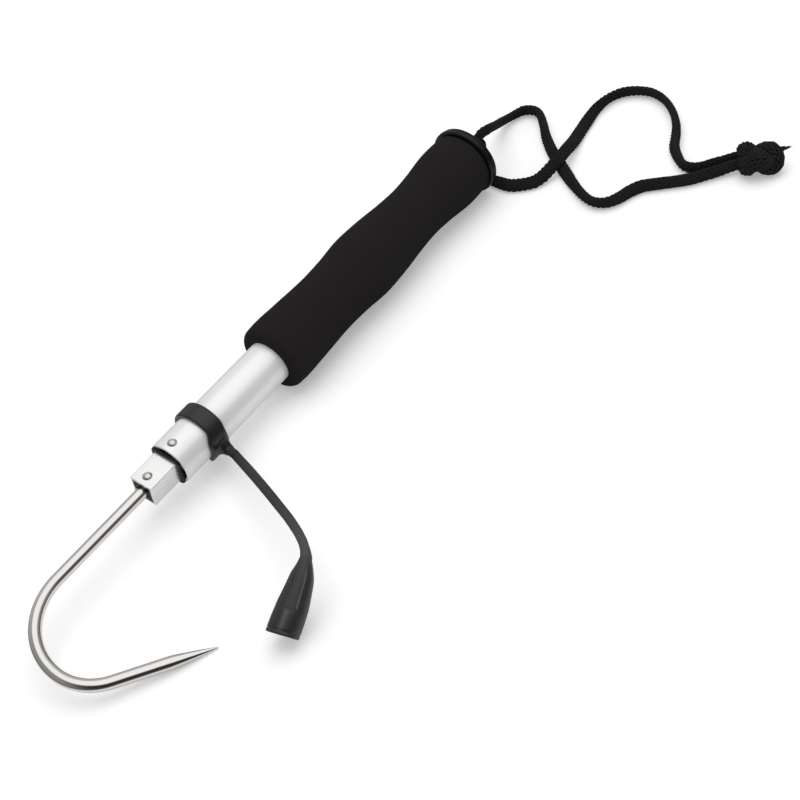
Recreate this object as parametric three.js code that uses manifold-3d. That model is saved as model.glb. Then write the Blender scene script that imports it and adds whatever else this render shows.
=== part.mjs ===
// A telescopic fishing gaff, closed and lying on a table. All lengths are in millimetres, +Z is up.
// The pole lies along X: the hook is towards -X, the butt cap and the lanyard are towards +X.
// The hook opens towards -Y and dips until it touches the table.
import * as THREE from 'three';
import { mergeVertices } from 'three/addons/utils/BufferGeometryUtils.js';
import Module from 'manifold-3d';

const wasm = await Module();
wasm.setup();

// Clearances and cutting overrun
const seatGap = 0.3;
const stopGap = 0.5;
const overrun = 2;

// Outer tube and where the grip sits on it
const tubeRadius = 10.5;
const tubeWall = 1.2;
const tubeChamfer = 0.4;
const gripSetback = 67;
const gripLength = 150;
const gripRadius = 17;
const gripFrontRounding = 3.2;
const gripRearRounding = 1.2;

// Square inner tube
const squareSide = 12;
const squareWall = 1;
const squareCorner = 1.2;
const squareReach = 16.8;

// Hook, bent from round rod
const rodRadius = 2.75;
const shankReach = 51.4;
const openingBendRadius = 30.7;
const closingBendRadius = 23.6;
const openingBendAngle = 89 * Math.PI / 180;
const wholeBendAngle = 145 * Math.PI / 180;
const pointLegLength = 41.9;
const pointTaper = 19;
const pointBellyPower = 1.25;
const pointTipRadius = 0.4;

// Mouth bush of the outer tube and mouth plug of the inner tube
const bushFlangeThickness = 1;
const bushFlangeInset = 0.3;
const bushSleeveLength = 15;
const bushRounding = 0.4;
const plugLength = 14;
const plugRecess = 0.4;
const holeCorner = 1.3;

// Snap buttons and the leaf springs that carry them
const buttonRadius = 2.1;
const buttonSetback = 4.4;
const buttonProud = 1;
const leafThickness = 0.4;
const leafLength = 11.5;
const outerLeafWidth = 5.2;
const innerLeafWidth = 4;
const outerButtonTravel = 0.8;
const innerButtonTravel = 0.5;
const outerLeafDrop = 0.7;

// Sliders on the hidden tails, their cross pins, and the room left behind each tail in the closed gaff
const closedTailRoom = 15.5;
const closedRodRoom = 21.4;
const tailSliderLength = 18;
const rodSliderLength = 16;
const tailPinRadius = 1.2;
const rodPinRadius = 0.9;
const sliderChamfer = 0.8;

// Butt cap: flange, spigot in the tube, and the eye that takes the lanyard
const flangeRadius = 17.75;
const flangeThickness = 4.4;
const flangeRounding = 1.3;
const spigotLength = 14;
const spigotWall = 2;
const eyeReach = 5.8;
const eyeRadius = 6;
const eyeThickness = 9;
const eyeHoleRadius = 3.2;
const eyeRounding = 1;

// Point guard: collar round the tube, strap and hollow cap
const collarSetback = 17.1;
const collarWidth = 7.4;
const collarThickness = 1.8;
const collarRounding = 0.6;
const lugDropAngle = 23 * Math.PI / 180;
const lugLength = 3.4;
const lugWidth = 9.4;
const lugThickness = 4.6;
const strapWidth = 3.9;
const strapNeckWidth = 3.1;
const strapThickness = 3;
const strapWidenShare = 0.93;
const strapLaunchBack = 7.3;
const strapLaunchOut = 18.7;
const strapLaunchRise = 3.3;
const strapLandingLength = 7.7;
const guardNeckBack = 13.8;
const guardNeckOut = 92.1;
const guardCapTurn = 10 * Math.PI / 180;
const guardCapDip = 28 * Math.PI / 180;
const guardCapLength = 30.2;
const guardCapRadius = 6.4;
const guardCapLip = 0.3;
const guardCapLipWidth = 2.4;
const guardCapNeck = 2.2;
const guardBoreRadius = 5;
const guardBoreDepth = 22;
const guardBoreEndRadius = 2.9;

// Lanyard cord
const cordRadius = 2.6;
const knotLength = 22;
const knotWidth = 17;
const knotHeight = 12.6;
const knotStrandRadius = 3.3;
const knotTailRadius = 1.3;
const knotTailLength = 8;
const knotTailLean = 42 * Math.PI / 180;
const knotCoreShare = 0.42;
const knotTailPlaceShare = 0.435;

// Sizes that follow from the ones above
const boreRadius = tubeRadius - tubeWall;
const tubeLength = gripSetback + gripLength;
const axisHeight = flangeRadius;
const squareHalf = squareSide / 2;
const squareBoreHalf = squareHalf - squareWall;
const bushHoleHalf = squareHalf + seatGap;
const sleeveRadius = boreRadius - seatGap;
const plugHalf = squareBoreHalf - seatGap;
const rodHoleRadius = rodRadius + seatGap;
const innerTailX = tubeLength - spigotLength - closedTailRoom;
const rodTailX = innerTailX - tailSliderLength - closedRodRoom;
const buttonHoleRadius = buttonRadius + seatGap;
const outerButtonX = buttonSetback;
const innerButtonX = buttonSetback - squareReach;
const flangeX = tubeLength + seatGap;
const flangeBackX = flangeX + flangeThickness;
const eyeX = flangeBackX + eyeReach;
const collarX = collarSetback + collarWidth / 2;
const collarRadius = tubeRadius + seatGap + collarThickness;
const pointTaperStart = pointLegLength - pointTaper;

// Facet counts
const tubeSides = 40;
const rodSides = 16;
const pinSides = 14;
const cornerSteps = 4;

// Solids and booleans

function weld(geometry) {
  const bare = geometry.clone();
  bare.deleteAttribute('normal');
  bare.deleteAttribute('uv');
  const welded = mergeVertices(bare);
  // A pole of a revolved shape leaves triangles with two corners alike; they are left out.
  const index = welded.index.array;
  const kept = [];
  for (let i = 0; i < index.length; i += 3) {
    const [a, b, c] = [index[i], index[i + 1], index[i + 2]];
    if (a !== b && b !== c && c !== a) {
      kept.push(a, b, c);
    }
  }
  welded.setIndex(kept);
  return outwards(welded);
}

function outwards(geometry) {
  const place = geometry.attributes.position;
  const index = geometry.index.array;
  const a = new THREE.Vector3();
  const b = new THREE.Vector3();
  const c = new THREE.Vector3();
  let volume = 0;
  for (let i = 0; i < index.length; i += 3) {
    a.fromBufferAttribute(place, index[i]);
    b.fromBufferAttribute(place, index[i + 1]);
    c.fromBufferAttribute(place, index[i + 2]);
    volume += a.dot(b.cross(c));
  }
  if (volume < 0) {
    for (let i = 0; i < index.length; i += 3) {
      [index[i], index[i + 1]] = [index[i + 1], index[i]];
    }
  }
  return geometry;
}

function toSolid(geometry) {
  const welded = weld(geometry);
  return new wasm.Manifold(new wasm.Mesh({
    numProp: 3,
    vertProperties: new Float32Array(welded.attributes.position.array),
    triVerts: new Uint32Array(welded.index.array),
  }));
}

function toGeometry(body) {
  const mesh = body.getMesh();
  const geometry = new THREE.BufferGeometry();
  geometry.setAttribute('position', new THREE.BufferAttribute(new Float32Array(mesh.vertProperties), 3));
  geometry.setIndex(new THREE.BufferAttribute(new Uint32Array(mesh.triVerts), 1));
  return geometry;
}

function cut(base, ...tools) {
  return toGeometry(tools.reduce((body, tool) => body.subtract(toSolid(tool)), toSolid(base)));
}

function join(...pieces) {
  return toGeometry(pieces.slice(1).reduce((body, piece) => body.add(toSolid(piece)), toSolid(pieces[0])));
}

// Shapes along the pole's X axis

// A turned piece from [x, radius] points that start and end on the axis, or go round a closed ring.
function turned(profile, sides = tubeSides) {
  const points = profile.map(([x, radius]) => new THREE.Vector2(radius, x));
  const closed = profile[0][1] > 0;
  if (closed) {
    points.push(points[0].clone());
  }
  return new THREE.LatheGeometry(points, sides).rotateZ(-Math.PI / 2);
}

function rod(radius, fromX, toX, sides = rodSides) {
  return turned([[fromX, 0], [fromX, radius], [toX, radius], [toX, 0]], sides);
}

// Points of a quarter round at an outer corner. The front one faces -X and climbs away from the axis.
function frontRound(x, radius, rounding) {
  const points = [];
  for (let i = 0; i <= cornerSteps; i += 1) {
    const angle = i / cornerSteps * Math.PI / 2;
    points.push([x + rounding * (1 - Math.cos(angle)), radius - rounding * (1 - Math.sin(angle))]);
  }
  return points;
}

function rearRound(x, radius, rounding) {
  return frontRound(-x, radius, rounding).map(([along, out]) => [-along, out]).reverse();
}

function roundedSquare(half, corner) {
  const shape = new THREE.Shape();
  const flat = half - corner;
  shape.absarc(flat, flat, corner, 0, Math.PI / 2);
  shape.absarc(-flat, flat, corner, Math.PI / 2, Math.PI);
  shape.absarc(-flat, -flat, corner, Math.PI, 3 * Math.PI / 2);
  shape.absarc(flat, -flat, corner, 3 * Math.PI / 2, 2 * Math.PI);
  shape.closePath();
  return shape;
}

function squareBar(half, corner, fromX, toX, bore = 0, boreCorner = 0) {
  const shape = roundedSquare(half, corner);
  if (bore > 0) {
    shape.holes.push(roundedSquare(bore, boreCorner));
  }
  const bar = new THREE.ExtrudeGeometry(shape, {
    depth: toX - fromX,
    bevelEnabled: false,
    curveSegments: cornerSteps,
  });
  return bar.rotateY(Math.PI / 2).translate(fromX, 0, 0);
}

function box(fromX, toX, width, fromZ, toZ) {
  return new THREE.BoxGeometry(toX - fromX, width, toZ - fromZ)
    .translate((fromX + toX) / 2, 0, (fromZ + toZ) / 2);
}

// A cylinder across the pole, along its local Z or Y.
function post(radius, x, fromZ, toZ, sides = pinSides) {
  return new THREE.CylinderGeometry(radius, radius, toZ - fromZ, sides)
    .rotateX(Math.PI / 2).translate(x, 0, (fromZ + toZ) / 2);
}

function crossPin(radius, x, halfLength) {
  return new THREE.CylinderGeometry(radius, radius, 2 * halfLength, pinSides).translate(x, 0, 0);
}

// A closed skin over rings of points, all with the same count, with flat ends.
function loft(rings) {
  const count = rings[0].length;
  const places = [];
  const index = [];
  rings.forEach((ring) => ring.forEach((p) => places.push(p.x, p.y, p.z)));
  for (let r = 0; r + 1 < rings.length; r += 1) {
    for (let i = 0; i < count; i += 1) {
      const next = (i + 1) % count;
      const [a, b, c, d] = [r * count + i, r * count + next, (r + 1) * count + next, (r + 1) * count + i];
      index.push(a, b, c, a, c, d);
    }
  }
  [[0, 1], [rings.length - 1, -1]].forEach(([r, side]) => {
    const middle = rings[r].reduce((sum, p) => sum.add(p), new THREE.Vector3()).divideScalar(count);
    const hub = places.length / 3;
    places.push(middle.x, middle.y, middle.z);
    for (let i = 0; i < count; i += 1) {
      const [a, b] = [r * count + i, r * count + (i + 1) % count];
      index.push(hub, side > 0 ? b : a, side > 0 ? a : b);
    }
  });
  const geometry = new THREE.BufferGeometry();
  geometry.setAttribute('position', new THREE.Float32BufferAttribute(places, 3));
  geometry.setIndex(index);
  return geometry;
}

// Materials

const brightAluminium = { color: 0xd9dadb, roughness: 0.32, metalness: 0.9 };
const polishedSteel = { color: 0xc9c7c4, roughness: 0.2, metalness: 1 };
const springSteel = { color: 0xa8a9ab, roughness: 0.35, metalness: 1 };
const blackPlastic = { color: 0x101012, roughness: 0.42, metalness: 0 };
const blackRubber = { color: 0x18181a, roughness: 0.6, metalness: 0 };
const blackFoam = { color: 0x0e0e10, roughness: 0.93, metalness: 0 };
const blackCord = { color: 0x0b0b0c, roughness: 0.88, metalness: 0 };

function piece(name, geometry, finish) {
  const shaded = weld(geometry).toNonIndexed();
  shaded.computeVertexNormals();
  const mesh = new THREE.Mesh(shaded, new THREE.MeshStandardMaterial(finish));
  mesh.name = name;
  return mesh;
}

// The outer tube, with the hole that its snap button shows through
function outerTube() {
  const tube = turned([
    [0, boreRadius],
    [0, tubeRadius - tubeChamfer],
    [tubeChamfer, tubeRadius],
    [tubeLength, tubeRadius],
    [tubeLength, boreRadius],
  ]);
  return cut(tube, post(buttonHoleRadius, outerButtonX, 0, tubeRadius + overrun));
}

// The foam sleeve: a full front, a shallow waist, a swell, a deep waist and a full heel.
// Each pair is a share of the grip's length and a share of its largest radius.
const gripSwellShares = [
  [0, 0.95], [0.05, 0.985], [0.14, 0.955], [0.27, 0.905], [0.36, 0.93], [0.45, 0.995], [0.55, 0.96],
  [0.65, 0.88], [0.735, 0.845], [0.81, 0.885], [0.9, 0.97], [0.955, 0.95], [1, 0.9],
];
const gripSteps = 30;

function grip() {
  const swell = new THREE.SplineCurve(
    gripSwellShares.map(([along, wide]) => new THREE.Vector2(along * gripLength, wide * gripRadius)),
  );
  const bore = tubeRadius + seatGap;
  const frontX = gripSetback;
  const rearX = gripSetback + gripLength;
  const outline = [];
  for (let i = 0; i <= gripSteps; i += 1) {
    const p = swell.getPoint(i / gripSteps);
    if (p.x > gripFrontRounding && p.x < gripLength - gripRearRounding) {
      outline.push([frontX + p.x, p.y]);
    }
  }
  const front = frontRound(frontX, outline[0][1], gripFrontRounding);
  const rear = rearRound(rearX, outline[outline.length - 1][1], gripRearRounding);
  return turned([[frontX, bore], ...front, ...outline, ...rear, [rearX, bore]]);
}

// The bush in the outer tube's mouth: a flange, a sleeve, a square way and a pocket for the leaf spring
function mouthBush() {
  const flangeRim = tubeRadius - bushFlangeInset;
  const frontX = -seatGap - bushFlangeThickness;
  const body = turned([
    [frontX, 0],
    ...frontRound(frontX, flangeRim, bushRounding),
    [-seatGap, flangeRim],
    [-seatGap, sleeveRadius],
    [bushSleeveLength, sleeveRadius],
    [bushSleeveLength, 0],
  ]);
  const way = squareBar(bushHoleHalf, holeCorner, frontX - overrun, bushSleeveLength + overrun);
  return cut(body, way, outerLeafPocket());
}

// The leaf lies under the tube's wall; its pocket leaves room for the button's travel.
const outerLeafTop = boreRadius - outerLeafDrop;
const outerPocketFloor = outerLeafTop - leafThickness - outerButtonTravel - seatGap;
const innerLeafTop = plugHalf;
const innerPocketFloor = innerLeafTop - leafThickness - innerButtonTravel - seatGap;

function leafPocket(buttonX, width, floor, top) {
  const frontX = buttonX - buttonRadius - 2 * seatGap;
  return box(frontX, frontX + leafLength + 2 * seatGap, width + 2 * seatGap, floor, top);
}

function outerLeafPocket() {
  return leafPocket(outerButtonX, outerLeafWidth, outerPocketFloor, boreRadius + overrun);
}

function innerLeafPocket() {
  return leafPocket(innerButtonX, innerLeafWidth, innerPocketFloor, squareHalf + overrun);
}

// A leaf spring: a strip with a round front end under the button
function leaf(buttonX, width, top) {
  const frontX = buttonX - buttonRadius - seatGap;
  const shape = new THREE.Shape();
  const half = width / 2;
  shape.moveTo(frontX + leafLength, -half);
  shape.lineTo(frontX + leafLength, half);
  shape.lineTo(frontX + half, half);
  shape.absarc(frontX + half, 0, half, Math.PI / 2, 3 * Math.PI / 2);
  shape.closePath();
  return new THREE.ExtrudeGeometry(shape, {
    depth: leafThickness,
    bevelEnabled: false,
    curveSegments: 2 * cornerSteps,
  }).translate(0, 0, top - leafThickness);
}

// A snap button: a post with a domed head that covers this angle on each side of its crown
const domeAngle = Math.PI / 3;

function button(buttonX, footZ, surfaceZ) {
  const crown = surfaceZ + buttonProud;
  const domeRadius = buttonRadius / Math.sin(domeAngle);
  const profile = [[footZ, 0], [footZ, buttonRadius]];
  for (let i = 0; i < cornerSteps; i += 1) {
    const angle = domeAngle * (1 - i / cornerSteps);
    profile.push([crown - domeRadius * (1 - Math.cos(angle)), domeRadius * Math.sin(angle)]);
  }
  profile.push([crown, 0]);
  return turned(profile, rodSides).rotateY(-Math.PI / 2).translate(buttonX, 0, 0);
}

// The square inner tube: button hole at its mouth, cross hole at its tail
function innerTube() {
  const boreCorner = squareCorner - squareWall;
  return cut(
    squareBar(squareHalf, squareCorner, -squareReach, innerTailX, squareBoreHalf, boreCorner),
    post(buttonHoleRadius, innerButtonX, 0, squareHalf + overrun),
    crossPin(tailPinRadius + seatGap, innerTailX - tailSliderLength / 2, squareHalf + overrun),
  );
}

function innerPlug() {
  const frontX = plugRecess - squareReach;
  const plug = squareBar(plugHalf, squareCorner - squareWall + seatGap, frontX, frontX + plugLength);
  return cut(plug, rod(rodHoleRadius, frontX - overrun, frontX + plugLength + overrun), innerLeafPocket());
}

function tailSlider() {
  const startX = innerTailX - tailSliderLength;
  const ring = turned([
    [startX, 0],
    [startX, sleeveRadius - sliderChamfer],
    [startX + sliderChamfer, sleeveRadius],
    [innerTailX - sliderChamfer, sleeveRadius],
    [innerTailX, sleeveRadius - sliderChamfer],
    [innerTailX, 0],
  ]);
  return cut(
    ring,
    squareBar(bushHoleHalf, holeCorner, startX - overrun, innerTailX + overrun),
    crossPin(tailPinRadius + seatGap, innerTailX - tailSliderLength / 2, boreRadius + overrun),
  );
}

function tailSliderPin() {
  return crossPin(tailPinRadius, innerTailX - tailSliderLength / 2, sleeveRadius - sliderChamfer);
}

// The hook's centre line in its own plane: u runs towards the hook, v into the gape.
function hookCentreLine() {
  const line = [];
  const straightEnd = squareReach + shankReach;
  const push = (u, v, angle, radius = rodRadius) => line.push({ u, v, angle, radius });
  push(-rodTailX, 0, 0);
  push(straightEnd, 0, 0);
  const openingSteps = 14;
  for (let i = 1; i <= openingSteps; i += 1) {
    const angle = openingBendAngle * i / openingSteps;
    push(straightEnd + openingBendRadius * Math.sin(angle), openingBendRadius * (1 - Math.cos(angle)), angle);
  }
  const tighter = openingBendRadius - closingBendRadius;
  const centreU = straightEnd + tighter * Math.sin(openingBendAngle);
  const centreV = openingBendRadius - tighter * Math.cos(openingBendAngle);
  const closingSteps = 8;
  for (let i = 1; i <= closingSteps; i += 1) {
    const angle = openingBendAngle + (wholeBendAngle - openingBendAngle) * i / closingSteps;
    push(centreU + closingBendRadius * Math.sin(angle), centreV - closingBendRadius * Math.cos(angle), angle);
  }
  const bendEnd = line[line.length - 1];
  const legPoint = (length, radius) => push(
    bendEnd.u + length * Math.cos(wholeBendAngle),
    bendEnd.v + length * Math.sin(wholeBendAngle),
    wholeBendAngle,
    radius,
  );
  // The point is ground to a slightly bellied cone.
  const grindSteps = 6;
  for (let i = 0; i <= grindSteps; i += 1) {
    const share = i / grindSteps;
    const radius = rodRadius + (pointTipRadius - rodRadius) * share ** pointBellyPower;
    legPoint(pointTaperStart + pointTaper * share, radius);
  }
  return line;
}

// The hook's plane dips until the leg that carries the point touches the table.
function dipToTable() {
  const deep = hookCentreLine().filter(({ v, radius }) => v > axisHeight - radius);
  return Math.min(...deep.map(({ v, radius }) => Math.asin((axisHeight - radius) / v)));
}

function hook() {
  const rings = hookCentreLine().map(({ u, v, angle, radius }) => {
    const ring = [];
    for (let i = 0; i < rodSides; i += 1) {
      const turn = 2 * Math.PI * (i + 0.5) / rodSides;
      const side = radius * Math.cos(turn);
      ring.push(new THREE.Vector3(
        -(u - side * Math.sin(angle)),
        -(v + side * Math.cos(angle)),
        radius * Math.sin(turn),
      ));
    }
    return ring;
  });
  const pinX = rodTailX - rodSliderLength / 2;
  return cut(loft(rings), crossPin(rodPinRadius + seatGap, pinX, rodRadius + overrun));
}

function rodSlider() {
  const startX = rodTailX - rodSliderLength;
  return cut(
    squareBar(plugHalf, sliderChamfer, startX, rodTailX),
    rod(rodHoleRadius, startX - overrun, rodTailX + overrun),
    crossPin(rodPinRadius + seatGap, rodTailX - rodSliderLength / 2, plugHalf + overrun),
  );
}

function rodSliderPin() {
  return crossPin(rodPinRadius, rodTailX - rodSliderLength / 2, plugHalf - seatGap);
}

// The butt cap: a round flange behind the grip, a hollow spigot in the tube and an eye for the lanyard
function buttCap() {
  const spigotX = tubeLength - spigotLength;
  const body = turned([
    [spigotX, sleeveRadius - spigotWall],
    [spigotX, sleeveRadius - sliderChamfer],
    [spigotX + sliderChamfer, sleeveRadius],
    [flangeX, sleeveRadius],
    ...frontRound(flangeX, flangeRadius, flangeRounding),
    ...rearRound(flangeBackX, flangeRadius, flangeRounding),
    [flangeBackX, 0],
    [flangeX + seatGap, 0],
    [flangeX + seatGap, sleeveRadius - spigotWall],
  ]);
  const eyeOutline = new THREE.Shape();
  eyeOutline.moveTo(flangeBackX - overrun, -eyeRadius);
  eyeOutline.lineTo(eyeX, -eyeRadius);
  eyeOutline.absarc(eyeX, 0, eyeRadius, -Math.PI / 2, Math.PI / 2);
  eyeOutline.lineTo(flangeBackX - overrun, eyeRadius);
  eyeOutline.closePath();
  const tab = new THREE.ExtrudeGeometry(eyeOutline, {
    depth: eyeThickness - 2 * eyeRounding,
    bevelEnabled: true,
    bevelThickness: eyeRounding,
    bevelSize: eyeRounding,
    bevelOffset: -eyeRounding,
    bevelSegments: 2,
    curveSegments: 3 * cornerSteps,
  }).translate(0, 0, eyeRounding - eyeThickness / 2);
  return cut(join(body, tab), post(eyeHoleRadius, eyeX, -eyeThickness, eyeThickness, rodSides));
}

// The guard's collar: a ring with a lug that carries the strap's root
function guardCollar() {
  const startX = collarSetback;
  const endX = collarSetback + collarWidth;
  const inner = tubeRadius + seatGap;
  const ring = turned([
    [startX, inner],
    ...frontRound(startX, collarRadius, collarRounding),
    ...rearRound(endX, collarRadius, collarRounding),
    [endX, inner],
  ]);
  const rings = [];
  const lugSteps = 5;
  const rootDepth = inner + collarThickness / 2;
  const lugDepth = collarRadius + lugLength;
  for (let i = 0; i <= lugSteps; i += 1) {
    const share = i / lugSteps;
    const ease = share * share * (3 - 2 * share);
    const halfWidth = (lugWidth + (strapWidth - lugWidth) * ease) / 2;
    const halfThickness = (lugThickness + (strapThickness - lugThickness) * ease) / 2;
    rings.push(ovalRing(
      new THREE.Vector3(collarX, -(rootDepth + (lugDepth - rootDepth) * share), 0),
      new THREE.Vector3(1, 0, 0),
      new THREE.Vector3(0, 0, 1),
      halfWidth,
      halfThickness,
    ));
  }
  return join(ring, loft(rings));
}

// A ring of points round a place, a squared oval with the given half width and half thickness
const ovalSides = 12;
const ovalPower = 0.7;

function ovalRing(middle, side, up, halfWidth, halfThickness) {
  const ring = [];
  for (let i = 0; i < ovalSides; i += 1) {
    const turn = 2 * Math.PI * (i + 0.5) / ovalSides;
    const c = Math.cos(turn);
    const s = Math.sin(turn);
    const across = halfWidth * Math.sign(c) * Math.abs(c) ** ovalPower;
    const high = halfThickness * Math.sign(s) * Math.abs(s) ** ovalPower;
    ring.push(middle.clone().addScaledVector(side, across).addScaledVector(up, high));
  }
  return ring;
}

// The guard's cap lies with its rim on the table; its neck is held up by the strap.
const guardCapAim = new THREE.Vector3(
  -Math.cos(guardCapDip) * Math.cos(guardCapTurn),
  -Math.cos(guardCapDip) * Math.sin(guardCapTurn),
  -Math.sin(guardCapDip),
);
const guardRimRadius = guardCapRadius + guardCapLip;
const guardNeckHeight = guardRimRadius * Math.cos(guardCapDip) + guardCapLength * Math.sin(guardCapDip);
const guardNeckPlace = new THREE.Vector3(-guardNeckBack, -guardNeckOut, guardNeckHeight);

// The strap is one smooth bow from the collar's lug to the cap's neck.
const strapRootDepth = collarRadius + lugLength + seatGap + strapWidth / 2;
const strapRoot = new THREE.Vector3(
  collarX,
  -strapRootDepth * Math.cos(lugDropAngle),
  axisHeight - strapRootDepth * Math.sin(lugDropAngle),
);
const strapEnd = guardNeckPlace.clone().addScaledVector(guardCapAim, -seatGap);
const strapSteps = 26;

function guardStrap() {
  const line = new THREE.CubicBezierCurve3(
    strapRoot,
    strapRoot.clone().add(new THREE.Vector3(-strapLaunchBack, -strapLaunchOut, strapLaunchRise)),
    strapEnd.clone().addScaledVector(guardCapAim, -strapLandingLength),
    strapEnd,
  );
  const high = new THREE.Vector3(0, 0, 1);
  const rings = [];
  const addRing = (middle, along, halfWidth, halfThickness) => {
    const side = new THREE.Vector3().crossVectors(along, high).normalize();
    const up = new THREE.Vector3().crossVectors(side, along).normalize();
    rings.push(ovalRing(middle, side, up, halfWidth, halfThickness));
  };
  // The root end is rounded in plan, so that it can swing beside the lug.
  const rootTangent = line.getTangentAt(0);
  const rootSteps = 3;
  for (let i = 1; i <= rootSteps; i += 1) {
    const angle = Math.PI / 2 * i / (rootSteps + 1);
    const back = strapWidth / 2 * Math.cos(angle);
    addRing(line.getPointAt(0).addScaledVector(rootTangent, -back), rootTangent,
      strapWidth / 2 * Math.sin(angle), strapThickness / 2);
  }
  for (let i = 0; i <= strapSteps; i += 1) {
    const share = i / strapSteps;
    const widen = Math.max(0, share - strapWidenShare) / (1 - strapWidenShare);
    const along = i === strapSteps ? guardCapAim : line.getTangentAt(share);
    const halfWidth = (strapWidth + (strapNeckWidth - strapWidth) * share) / 2;
    addRing(line.getPointAt(share), along,
      halfWidth + (guardCapNeck - halfWidth) * widen,
      strapThickness / 2 + (guardCapNeck - strapThickness / 2) * widen);
  }
  return loft(rings);
}

// The guard's cap: a neck, a bell that swells quickly, then long straight sides, a lip and a blind bore
const guardCapShares = [
  [0, 0], [0.04, 0.11], [0.09, 0.24], [0.14, 0.365], [0.2, 0.485], [0.27, 0.58], [0.35, 0.655],
  [0.45, 0.76], [0.58, 0.88], [0.72, 0.97], [0.88, 1],
];

function guardCap() {
  const outer = guardCapShares.map(([along, wide]) => [
    along * guardCapLength,
    guardCapNeck + (guardCapRadius - guardCapNeck) * wide,
  ]);
  const lipX = guardCapLength - guardCapLipWidth;
  const profile = [
    [0, 0],
    ...outer,
    [lipX, guardCapRadius + guardCapLip / 2],
    [lipX + guardCapLip, guardRimRadius],
    [guardCapLength - guardCapLip, guardRimRadius],
    [guardCapLength, guardCapRadius],
    [guardCapLength, guardBoreRadius + guardCapLip],
    [guardCapLength - guardCapLip, guardBoreRadius],
    [guardCapLength - guardBoreDepth, guardBoreEndRadius],
    [guardCapLength - guardBoreDepth - guardBoreEndRadius / 2, 0],
  ];
  const turn = new THREE.Quaternion().setFromUnitVectors(new THREE.Vector3(1, 0, 0), guardCapAim);
  return turned(profile, 28).applyQuaternion(turn)
    .translate(guardNeckPlace.x, guardNeckPlace.y, guardNeckPlace.z);
}

// Lanyard routes, as x, y and z of the cord's middle, chosen by hand along the photographed cord
const bightRoute = [
  [236.9, -1.39, 24.75], [235.2, -2.37, 25.25], [233.1, -3, 25.6], [230.7, -3.05, 25.4], [228.5, -2.3, 23.9],
  [227.6, -1.2, 21.5], [227.5, -0.1, 17.8], [227.4, 0.95, 13.6], [227.3, 1.1, 11], [227, 0, 7.8],
  [226.5, -2.8, 5], [226, -6.2, 3.4], [225.7, -9.2, 2.7], [225.55, -10.7, 2.7],
];
const upperLegRoute = [
  [237.25, -1.19, 24.65], [238.6, -0.41, 24.25], [241.5, 2.2, 21], [245.2, 5.8, 16.3], [249.8, 10.2, 11],
  [254.6, 14.2, 6.8], [259.6, 17, 4], [264, 17.6, 2.8], [268.2, 16.6, 2.7], [272.9, 15.2, 2.7],
  [277.4, 13.2, 2.7], [280.8, 10.5, 2.7], [282.5, 6.5, 2.7], [282.2, 2.3, 2.7], [279.9, -1.4, 2.7],
  [272.7, -8.3, 2.7], [264.9, -15, 2.7], [256.6, -23.8, 2.7], [249.6, -32.4, 2.7], [242.6, -41.6, 2.7],
  [235.8, -50.9, 2.7], [230.1, -60.2, 2.7], [227.9, -67, 2.7], [229.4, -73, 2.7], [234.6, -77, 2.7],
  [240.9, -79.6, 2.7], [245.8, -83, 2.7], [250, -89.4, 2.7], [253.8, -95.9, 2.7], [258, -102.1, 2.7],
  [262.8, -107, 2.7], [267.7, -112.2, 3], [271.1, -116.1, 3.7], [273.7, -120.2, 4.6],
];
const lowerLegRoute = [
  [225.51, -11.1, 2.7], [225.36, -12.6, 2.7], [225.1, -16, 2.7], [225.3, -20, 2.7], [227.8, -25.2, 2.7],
  [231.2, -30.1, 3], [235.4, -32.9, 4.1], [240.8, -35.4, 6.7], [246.5, -37.1, 8.7], [252.4, -36.2, 8.1],
  [258.6, -34.2, 5.9], [264.6, -32.3, 4], [272.4, -30.3, 2.9], [283.9, -28.3, 2.7], [295, -27.2, 2.7],
  [304.4, -28.8, 2.7], [310.7, -33.4, 2.7], [314, -41.1, 2.7], [314.1, -49.3, 2.7], [309.7, -58.9, 2.7],
  [303.1, -66.7, 2.7], [294.7, -73.3, 2.7], [285.9, -78.2, 2.7], [277.1, -82.6, 2.7], [268.4, -90.9, 2.7],
  [266.3, -93.9, 2.7], [265.6, -97.4, 2.7], [266.3, -100.9, 2.7], [267.9, -103.5, 2.7], [271.6, -107, 2.7],
  [275, -110.7, 2.8], [277.8, -114.4, 3.5], [279.4, -118.4, 4.7],
];
const cordSides = 8;

function cordRun(route, steps, radius = cordRadius) {
  const line = new THREE.CatmullRomCurve3(route.map((p) => new THREE.Vector3(...p)), false, 'centripetal');
  const section = new THREE.Shape();
  for (let i = 0; i < cordSides; i += 1) {
    const turn = 2 * Math.PI * (i + 0.5) / cordSides;
    const [x, y] = [radius * Math.cos(turn), radius * Math.sin(turn)];
    if (i === 0) {
      section.moveTo(x, y);
    } else {
      section.lineTo(x, y);
    }
  }
  section.closePath();
  return new THREE.ExtrudeGeometry(section, { steps, bevelEnabled: false, extrudePath: line });
}

// The stopper knot: both legs tied together in one fat overhand knot with a short tail
const knotPlace = new THREE.Vector3(277.4, -129.9, 6.7);
const knotAim = new THREE.Vector3(0.237, -0.971, 0).normalize();
const knotTurns = 44;

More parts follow.
